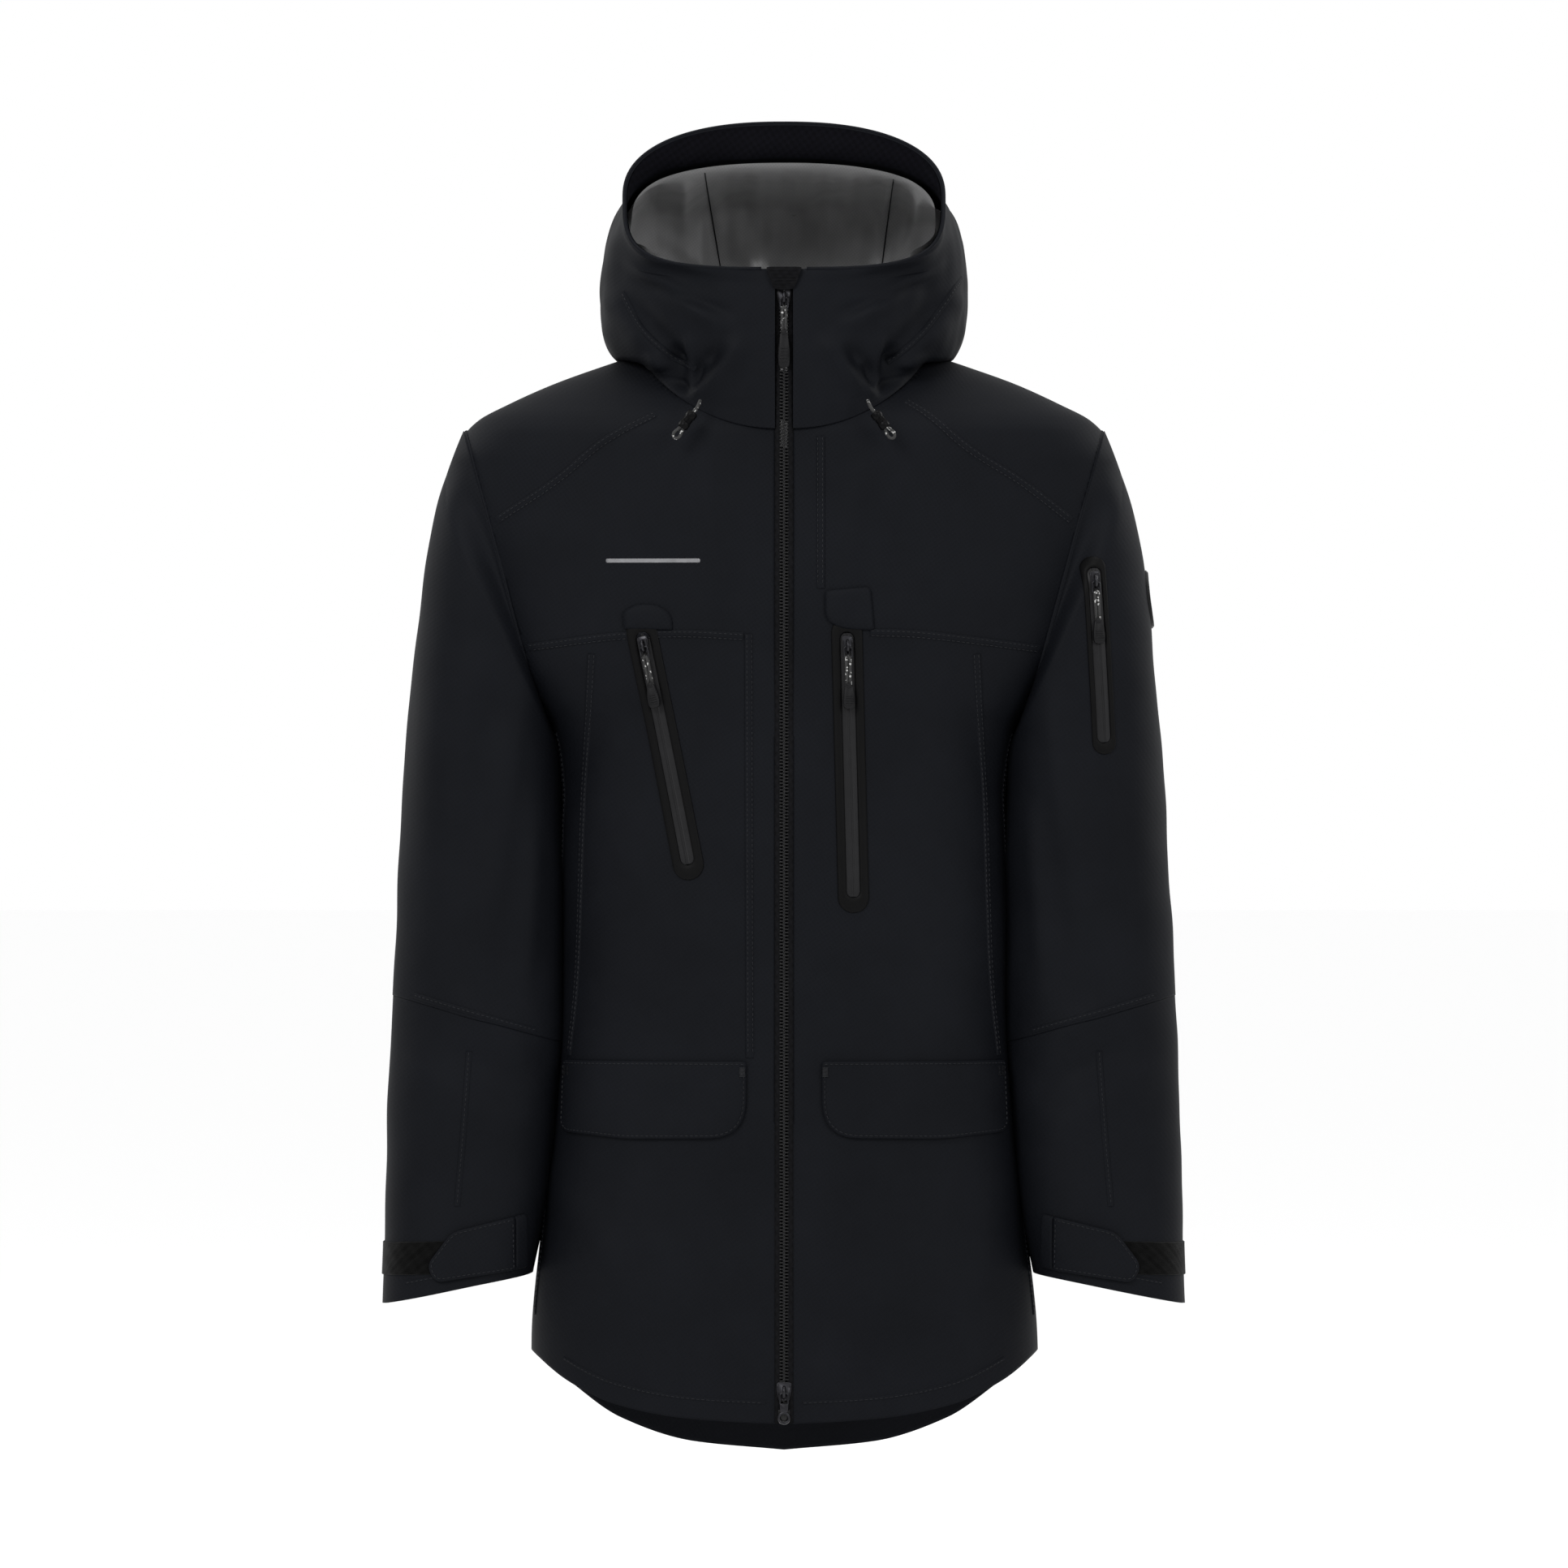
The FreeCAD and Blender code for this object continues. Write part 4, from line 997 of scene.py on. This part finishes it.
def edge_stitches(threads, skin, frame, outline, inset, height):
    """A row of stitching inside an outline."""
    middle = centre_of(outline)
    path, normals = [], []
    for k, here in enumerate(outline):
        along = Vector(outline[(k + 1) % len(outline)]) - Vector(outline[k - 1])
        aside = Vector((-along.y, along.x)).normalized()
        if aside.dot(middle - Vector(here)) < 0:
            aside = -aside
        spot = Vector(here) + aside * inset
        hit, normal = footing(skin, frame, spot.x, spot.y)
        path.append(hit + normal * height)
        normals.append(normal)
    stitches(threads, path + path[:1], normals + normals[:1])


# ---- welded pocket zips ----
def pocket_zip(name, skin, top_x, top_z, end_x, end_z, width, body):
    """A welded zip from its top to its lower end: the weld, the coated tape and the zip's head."""
    middle_x, middle_z = (top_x + end_x) / 2, (top_z + end_z) / 2
    spots = ((top_x, top_z), (end_x, end_z),
             (middle_x - width / 2, middle_z), (middle_x + width / 2, middle_z))
    top, end, near, far = (cast(skin, (x, 0, z))[0] for x, z in spots)
    run, length = (end - top).normalized(), (end - top).length
    frame = frame_at(top, run, far - near)
    profile = [(0.0, -0.3), (0.02, 0.8), (0.10, 1.5), (0.32, 1.75),
               (0.7, 1.6), (0.92, 1.25), (0.98, 0.7), (1.0, -0.5)]
    points, count, inner = [], 0, 5.0
    for share, height in profile:
        radius = inner + (width / 2 - inner) * share
        head, foot = -inner * (1 - share), -length + inner * (1 - share)
        loop = []
        for start, here, there, way in ((0, head, foot, -1), (math.pi, foot, head, 1)):
            loop += [(radius * math.cos(a), here + radius * math.sin(a))
                     for a in np.linspace(start, start + math.pi, 30)]
            loop += [(way * radius, z) for z in np.linspace(here, there, 60)[1:-1]]
        count = len(loop)
        points += [laid(skin, frame, u, v, height) for u, v in loop]
    border = piece(name + "_weld", points, grid_faces(len(profile), count, True), WELD)
    finish(border, body, "weld_film", name + "_frame")
    half = [(0.15, 0.95), (0.9, 0.85), (1.2, 0.45), (2.0, 0.35), (5.6, 0.15)]
    across = [(-u, height) for u, height in reversed(half)] + [(0.0, 0.4)] + half
    rows = np.linspace(-0.5, -length + 0.5, 90)
    points = [laid(skin, frame, u, v, height) for v in rows for u, height in across]
    tape = piece(name + "_coated_tape", points, grid_faces(len(rows), len(across), False), COATED)
    finish(tape, body, "zip_coated", name + "_tape")
    put_zip_head(name, frame @ Matrix.Translation((0, 0.6, -2.8)), 3.8, 13.0, 20.0, 18.0)


pocket_zip("chest_zip_right", BODY_SKIN, -108.5, -192.0, -73.0, -369.0, 24.0, "torso")
pocket_zip("chest_zip_left", BODY_SKIN, 48.0, -192.0, 53.0, -394.0, 24.0, "torso")
pocket_zip("sleeve_zip", ARM_SKIN["left"], 237.0, -142.0, 245.0, -276.0, 18.0, "sleeve_left")

# ---- pocket flaps and garages ----
threads = Heap()
for name, side in SIDES:
    corners = ((28.5, -519.0), (168.0, -519.0), (170.0, -568.0), (166.0, -574.0), (120.0, -578.5),
               (29.0, -577.5))
    outline = dense(rounded(sided(corners, side), [3, 3, 8, 8, 10, 46], 10), 5.0)
    flap = piece("pocket_flap_fabric_" + name,
                 *patch(BODY_SKIN, FRONT, outline, 3.6, edge=1.6, rings=16, wave=0.25), SHELL)
    finish(flap, "pocket_flap_" + name, "shell_fabric", "hand_pocket_flap_" + name)
    sewn = Heap()
    edge_stitches(sewn, BODY_SKIN, FRONT, outline, 2.2, 3.75)
    for x in (31.5, 164.0):
        for k in range(9):
            path = [laid(BODY_SKIN, FRONT, side * x + dx, -524.0 - 0.8 * k, 4.0) for dx in (-3.0, 3.0)]
            stitches(sewn, path, [Vector((0, -1, 0))] * 2, length=5.0, pitch=5.6, width=0.7)
    finish(sewn.make("pocket_flap_stitches_" + name, THREAD), "pocket_flap_" + name, "shell_fabric")

garage = Heap()
left_corner = rounded([(31.0, -160.0), (66.0, -157.0), (69.0, -190.0), (46.0, -189.5), (31.5, -183.0)],
                      [4, 4, 3, 8, 10], 8)
garage.put(patch(BODY_SKIN, FRONT, dense(left_corner), 3.2, edge=5.0, rings=8))
right_corner = rounded([(-124.0, -176.0), (-112.0, -170.0), (-96.0, -171.0), (-86.0, -178.0), (-85.0, -190.0),
                        (-122.5, -189.0)], [5, 6, 6, 5, 2, 2], 8)
garage.put(patch(BODY_SKIN, FRONT, dense(right_corner), 2.8, edge=6.0, rings=8))
finish(garage.make("zip_garages", SHELL), "torso", "shell_fabric", "chest_zip_garage")

# ---- seams of the body ----
welts = Heap()
FROM_FRONT, FROM_BACK = (0, 1, 0), (0, -1, 0)
# Each seam: the way it is looked at, the way its lap turns, and its corners' X and Z.
BODY_SEAMS = [
    (FROM_FRONT, -1, [(-100, -23), (-139, -43), (-177, -74), (-221, -103)]),
    (FROM_FRONT, 1, [(95, -13), (115, -26), (146, -51), (183, -74), (221, -103)]),
    (FROM_FRONT, -1, [(-31, -192), (-78, -190), (-130, -192), (-196, -200)]),
    (FROM_FRONT, 1, [(66, -189), (110, -191), (196, -201)]),
    (FROM_FRONT, -1, [(-30, -193), (-29.5, -350), (-29, -516)]),
    (FROM_FRONT, 1, [(31, -42), (31, -100), (31, -158)]),
    (FROM_BACK, 1, [(-222, -150), (-100, -153), (0, -155), (100, -153), (222, -150)])]
for _, side in SIDES:
    for heading, half in ((FROM_FRONT, [(150, -208), (156, -330), (160, -450), (166, -515)]),
                          (FROM_BACK, [(97, 4), (150, -20), (232, -70)])):
        BODY_SEAMS.append((heading, side, sided(half, side)))
for heading, way, corners in BODY_SEAMS:
    seam(welts, threads, [(x, 0, z) for x, z in corners], BODY_SKIN, heading, way)
for _, side in SIDES:
    for y, low_y, way in ((-112, -114, side), (-48, -48, -side)):
        seam(welts, threads, [(0, y, -268), (0, y, -500), (0, low_y, -715)], BODY_SKIN, (-side, 0, 0), way)
for heading, back, first, last in ((FROM_FRONT, 0.0, -168, -14), (FROM_FRONT, 0.0, 14, 168),
                                   (FROM_BACK, 1.0, -168, 168)):
    path = [(x, 0, float(hem_z(x, back)) + 17.0) for x in np.linspace(first, last, 14)]
    seam(welts, threads, path, BODY_SKIN, heading, 1, width=3.0, rise=0.55, rows=(1.5,))
finish(welts.make("body_seams", SHELL), "torso", "shell_fabric")
finish(threads.make("body_stitches", THREAD), "torso", "shell_fabric")

# ---- hood seams, cord locks and chin guard ----
hood_welts, hood_threads = Heap(), Heap()
cheeks = ([(-125, 0, 68), (-112, 0, 42), (-92, 0, 22), (-69, 0, 8)],
          [(137, 0, 79), (112, 0, 42), (92, 0, 22), (80, 0, 14)])
for cheek, (name, side) in zip(cheeks, SIDES):
    seam(hood_welts, hood_threads, cheek, HOOD_SKIN, FROM_FRONT, side, width=5.0, rise=0.9, rows=(2.0,))
    path = [(side * 58, y, 0) for y in (-95, -60, -20, 10)]
    seam(hood_welts, hood_threads, path, HOOD_SKIN, (0, 0, -1), side, width=6.0, rise=0.9)
    path = [(side * 58, 0, z) for z in (150, 120, 80, 50)]
    seam(hood_welts, hood_threads, path, HOOD_SKIN, FROM_BACK, -side, width=6.0, rise=0.9)
here = np.stack(hood_ring(RIM, HOOD_TURN), 1)
path = [Vector(tuple(p)) + Vector((0, 0.6, 0.2)) for p in here if abs(p[0]) > 14 or p[1] > -150]
bend(piece("hood_edge_binding", *tube(path, 1.4, 10), SHELL), "facing_fabric", *HOOD_BEND)
bend(hood_welts.make("hood_seams", SHELL), "shell_fabric", *HOOD_BEND)
bend(hood_threads.make("hood_stitches", THREAD), "shell_fabric", *HOOD_BEND)

guard = Heap()
outline = rounded([(-7.5, 70.0), (7.5, 70.0), (14.0, 87.5), (-14.0, 87.5)], [4, 4, 2.5, 2.5], 8)
guard.put(plate(outline, FRONT_TOP_Y - 8.0, FRONT_TOP_Y - 6.2, 0.7, 3))
for side in (-1, 1):
    wing = sided([(7.2, 70.5), (13.6, 87.0), (11.6, 87.0), (5.6, 70.5)], side)
    guard.put(plate(rounded(wing, 0.5, 3), FRONT_TOP_Y - 7.0, FRONT_TOP_Y - 1.2, 0.5, 2))
for k in range(6):
    z = 72.5 + 2.5 * k
    wide = 6.3 + (z - 70.0) * 0.36
    guard.put(block(-wide, wide, FRONT_TOP_Y - 8.5, FRONT_TOP_Y - 7.5, z - 0.55, z + 0.55, 0.4, 2))
finish(guard.make("chin_guard_fabric", TWILL), "torso", "shell_fabric", "chin_guard")


def lathed(profile, start, run, sides=28):
    """A round part about a line, from distances along it and radii."""
    run = Vector(run).normalized()
    side = run.orthogonal().normalized()
    up = run.cross(side)
    points = []
    for at, radius in profile:
        for k in range(sides):
            a = 2 * math.pi * k / sides
            points.append(Vector(start) + run * at + (side * math.cos(a) + up * math.sin(a)) * radius)
    return points, grid_faces(len(profile), sides, True)


for name, side in SIDES:
    start, run = Vector((side * 69.0, -191.5, -24.0)), Vector((side * 0.6, -0.05, -0.8)).normalized()
    barrel = Heap()
    barrel.put(lathed([(0.3, 1.7), (0.0, 2.4), (0.0, 3.4), (0.6, 4.1), (4.6, 4.2), (5.4, 3.5), (9.6, 3.5),
                       (10.4, 4.2), (14.2, 4.1), (14.9, 3.4), (15.0, 2.4), (14.7, 1.7), (0.3, 1.7)],
                      start, run))
    for k in range(5):
        rib = [(at + 0.75 * k, radius) for at, radius in ((5.9, 3.4), (6.1, 3.85), (6.35, 3.85), (6.55, 3.4))]
        barrel.put(lathed(rib, start, run))
    button = Matrix.Translation(start + run * 2.6 + Vector((0, -4.4, 0)))
    barrel.put(block(-1.6, 1.6, -1.4, 1.4, -1.2, 1.2, 0.5), button)
    finish(barrel.make("cord_lock_barrel_" + name, LOCK), "cord_lock_" + name, "lock_plastic",
           "cord_lock_" + name)
    path = [start + Vector((-side * 5.0, 8.0, 9.0)), start - run * 5.0 + Vector((0, 1.5, 0)),
            start - run * 1.0, start + run * 4.0]
    finish(piece("cinch_cord_" + name, *tube(path, 1.35), CORD), "torso", "zip_twill")
    aside = Vector((run.z, 0, -run.x)).normalized()
    end = start + run * 15.0
    half = [(0.8, -2), (1.8, 2.5), (2.6, 6.0), (1.6, 8.6)]
    bow = half + [(0, 9.4)] + [(-wide, far) for wide, far in reversed(half)]
    path = smooth_path([end + aside * wide + run * far for wide, far in bow], 1.2)
    tail = tube([p + Vector((0, -0.3, 0)) for p in path], 1.2)
    finish(piece("cord_tail_" + name, *tail, CORD), "cord_lock_" + name, "zip_twill")

# ---- hang loop ----
strap = []
for t in np.linspace(-1, 1, 41):
    x, y = 26.0 * t, -9.0 + 12.6 * t * t
    for dz, dy in ((-3.0, 0.3), (-2.4, -0.4), (0, -0.6), (2.4, -0.4),
                   (3.0, 0.3), (2.4, 0.7), (0, 0.8), (-2.4, 0.7)):
        strap.append((x, y + dy + 0.6, dz))
loop = piece("hang_loop_strap", strap, grid_faces(41, 8, True), TWILL)
finish(loop, "torso", "zip_twill", "hang_loop")

# ---- cuffs ----
ARM_AXIS = (250.0, -108.0)


def round_arm(skin, side, angle, z, height):
    """A point over a forearm at an angle about its axis, from the outside at 0 to the front at 90."""
    heading = Vector((-side * math.cos(angle), math.sin(angle), 0))
    hit, normal = cast(skin, (side * ARM_AXIS[0], ARM_AXIS[1], z), heading)
    return hit + normal * height


for name, side in SIDES:
    skin = CUFF_SKIN[name]
    angles = np.linspace(-0.55, 1.42, 120)
    points = []
    heights = [-0.4, 0.7] + [1.1] * 40 + [0.7, -0.4]
    share = [0.0, 0.0] + list(np.linspace(0.015, 0.985, 40)) + [1.0, 1.0]
    for a_index, a in enumerate(angles):
        for v_index, (f, height) in enumerate(zip(share, heights)):
            fuzz = 0.35 * math.sin(a_index * 12.9898 + v_index * 78.233) if height > 1 else 0
            low = -681.5 - 2.5 * max(math.cos(a), 0)
            end = -0.4 if a_index in (0, len(angles) - 1) else height + fuzz
            points.append(round_arm(skin, side, a, low + 25.0 * f, end))
    strip = piece("cuff_loop_pile_" + name, points, grid_faces(len(angles), len(share), False), PILE)
    finish(strip, "forearm_" + name, "loop_pile", "cuff_loop_strip_" + name)
    corners = ((206.8, -638.2), (254.0, -650.0), (273.0, -676.0), (266.0, -689.0), (206.8, -679.3))
    outline = dense(rounded(sided(corners, side), [2, 7, 8, 6, 2], 8), 3.0)
    corners = ((198.0, -636.2), (206.6, -638.3), (206.6, -679.2), (198.0, -677.5))
    root = dense(rounded(sided(corners, side), [3, 1, 1, 3], 8), 2.0)
    fixed = patch(skin, FRONT, root, 3.0, edge=1.0, rings=8, lowest=0.6, wave=0.1)
    finish(piece("cuff_tab_root_" + name, *fixed, SHELL), "forearm_" + name, "shell_fabric")
    tab = piece("cuff_tab_fabric_" + name, *patch(skin, FRONT, outline, 3.4, lowest=1.8, wave=0.15), SHELL)
    finish(tab, "cuff_tab_" + name, "shell_fabric", "cuff_tab_" + name)
    sewn = Heap()
    edge_stitches(sewn, skin, FRONT, outline, 2.2, 3.5)
    finish(sewn.make("cuff_tab_stitches_" + name, THREAD), "cuff_tab_" + name, "shell_fabric")
    welts, sewn = Heap(), Heap()
    path = [(side * 243, 0, -512), (side * 247, 0, -570), (side * 252, 0, -630)]
    seam(welts, sewn, path, skin, FROM_FRONT, side, width=5.0, rise=0.8, rows=(2.0,))
    path = [(side * x, 0, -681.5 - (x - 190) * 0.204 + 14.0) for x in np.linspace(204, 290, 9)]
    for heading, way in ((FROM_FRONT, side), (FROM_BACK, -side)):
        seam(welts, sewn, path, skin, heading, way, width=3.0, rise=0.5, rows=(1.5,))
    finish(welts.make("forearm_seams_" + name, SHELL), "forearm_" + name, "shell_fabric")
    finish(sewn.make("forearm_stitches_" + name, THREAD), "forearm_" + name, "shell_fabric")
    welts, sewn = Heap(), Heap()
    path = [(side * x, 0, -500 + (x - 171) * 0.289) for x in np.linspace(190, 284, 9)]
    for heading, way in ((FROM_FRONT, side), (FROM_BACK, -side)):
        seam(welts, sewn, path, ARM_SKIN[name], heading, way, width=4.5, rise=0.9, rows=(1.6,))
    finish(welts.make("elbow_seam_" + name, SHELL), "sleeve_" + name, "shell_fabric")
    finish(sewn.make("elbow_stitches_" + name, THREAD), "sleeve_" + name, "shell_fabric")

# ---- sleeve badge and chest bar ----
badge_out = Vector((1.0, -0.35, 0.15)).normalized()
badge_side = Vector((badge_out.y, -badge_out.x, 0)).normalized() * -1
badge_up = badge_out.cross(badge_side) * -1
badge_turn = Matrix((badge_side, badge_out, badge_up)).transposed().to_4x4()
BADGE = Matrix.Translation((276.0, -84.0, -166.0)) @ badge_turn
disc = Heap()
skin = ARM_SKIN["left"]
disc.put(patch(skin, BADGE, circle(22.5), 1.3, edge=0.8, rings=10))
for radius, thick in ((20.8, 0.7), (14.0, 0.45)):
    disc.put(tube([laid(skin, BADGE, u, v, 1.5) for u, v in circle(radius)], thick, 8, True))
for k in range(12):
    a = math.pi * k / 6
    path = [laid(skin, BADGE, r * math.cos(a), r * math.sin(a), 1.45) for r in (15.8, 17.2, 18.6)]
    disc.put(tube(path, 0.5, 8))
finish(disc.make("sleeve_badge_disc", RUBBER), "sleeve_left", "pull_rubber", "sleeve_badge")
outline = dense(rounded([(-136.0, -135.4), (-64.0, -135.4), (-64.0, -138.4), (-136.0, -138.4)], 1.2, 5), 3.0)
bar = patch(BODY_SKIN, FRONT, outline, 0.35, edge=0.4, rings=6, lowest=-0.2)
finish(piece("chest_plain_bar", *bar, REFLECT), "torso", "weld_film")

# ---- the hood lining's seams ----
inner, lining_sewn = skin_of(hood_lining), Heap()
for top_x, low_x in ((-61.0, -44.0), (85.0, 72.0)):
    line = []
    for f in np.linspace(0.0, 1.0, 40):
        spot, _ = cast(inner, (top_x + (low_x - top_x) * f, 200, 163.0 - 100.0 * f))
        if spot.y < 150:
            line.append(spot + Vector((0, -0.1, 0)))
    lining_sewn.put(tube(line, 0.55, 6))
bend(lining_sewn.make("hood_lining_seams", THREAD), "lining_satin", *HOOD_BEND)

# The lining and pocket bags made in CAD take the woven materials.
LOOKS = {"lining_satin": SATIN, "pocket_lining": FACING, "shell_fabric": SHELL, "facing_fabric": FACING,
         "zip_twill": TWILL}
for obj in bpy.data.objects:
    if obj.type == "MESH" and "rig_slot" not in obj:
        for place in obj.material_slots:
            if place.material and place.material.name in LOOKS:
                place.material = LOOKS[place.material.name]

# ---- floor, light and camera ----
FLOOR_REACH, FLOOR_GAP = 60.0, 0.17      # metres
floor_z = cad_low.z - FLOOR_GAP
corners = [(-1, -1), (1, -1), (1, 1), (-1, 1)]
floor_points = [(x * FLOOR_REACH / MM, y * FLOOR_REACH / MM, floor_z / MM) for x, y in corners]
floor = piece("floor", floor_points, [(0, 1, 2, 3)])
floor_mat, _, floor_shader = nodes_of("floor")
floor_shader.inputs["Base Color"].default_value = (0.98, 0.98, 0.98, 1)
floor_shader.inputs["Roughness"].default_value = 1.0
floor_shader.inputs["Specular IOR Level"].default_value = 0.1
floor.data.materials.append(floor_mat)

# Each square light: its place, what it points at, its size and its power, in metres and watts.
LIGHTS = (("key", (-1.5, -2.6, 1.6), (0, -0.1, -0.3), 1.2, 85),
          ("fill", (1.9, -2.3, 0.9), (0, -0.1, -0.3), 1.4, 42),
          ("top", (0, -0.2, 2.3), (0, 0, 0), 1.4, 50),
          ("rim_left", (-2.0, 1.0, 0.8), (0, 0, -0.4), 1.0, 22),
          ("rim_right", (2.0, 1.0, 0.8), (0, 0, -0.4), 1.0, 22))
for name, place, aim, size, power in LIGHTS:
    lamp = bpy.data.lights.new(name, "AREA")
    lamp.shape, lamp.size, lamp.energy = "SQUARE", size, power
    holder = bpy.data.objects.new(name, lamp)
    bpy.context.collection.objects.link(holder)
    holder.location = place
    holder.rotation_euler = (Vector(aim) - Vector(place)).to_track_quat("-Z", "Y").to_euler()

world = bpy.data.worlds.new("studio")
bpy.context.scene.world = world
world.use_nodes = True
world.node_tree.nodes["Background"].inputs["Color"].default_value = (1, 1, 1, 1)
world.node_tree.nodes["Background"].inputs["Strength"].default_value = 1.0
bpy.context.scene.view_settings.view_transform = "Standard"

FRAME_WIDTH = 1.198
FRAME_CENTRE_Z = -0.3075
LENS, SENSOR = 300.0, 36.0
lens = bpy.data.cameras.new("camera")
lens.lens, lens.sensor_width = LENS, SENSOR
camera = bpy.data.objects.new("camera", lens)
bpy.context.collection.objects.link(camera)
camera.location = (0, FRONT_TOP_Y * MM - FRAME_WIDTH * LENS / SENSOR, FRAME_CENTRE_Z)
camera.rotation_euler = (math.pi / 2, 0, 0)
bpy.context.scene.camera = camera
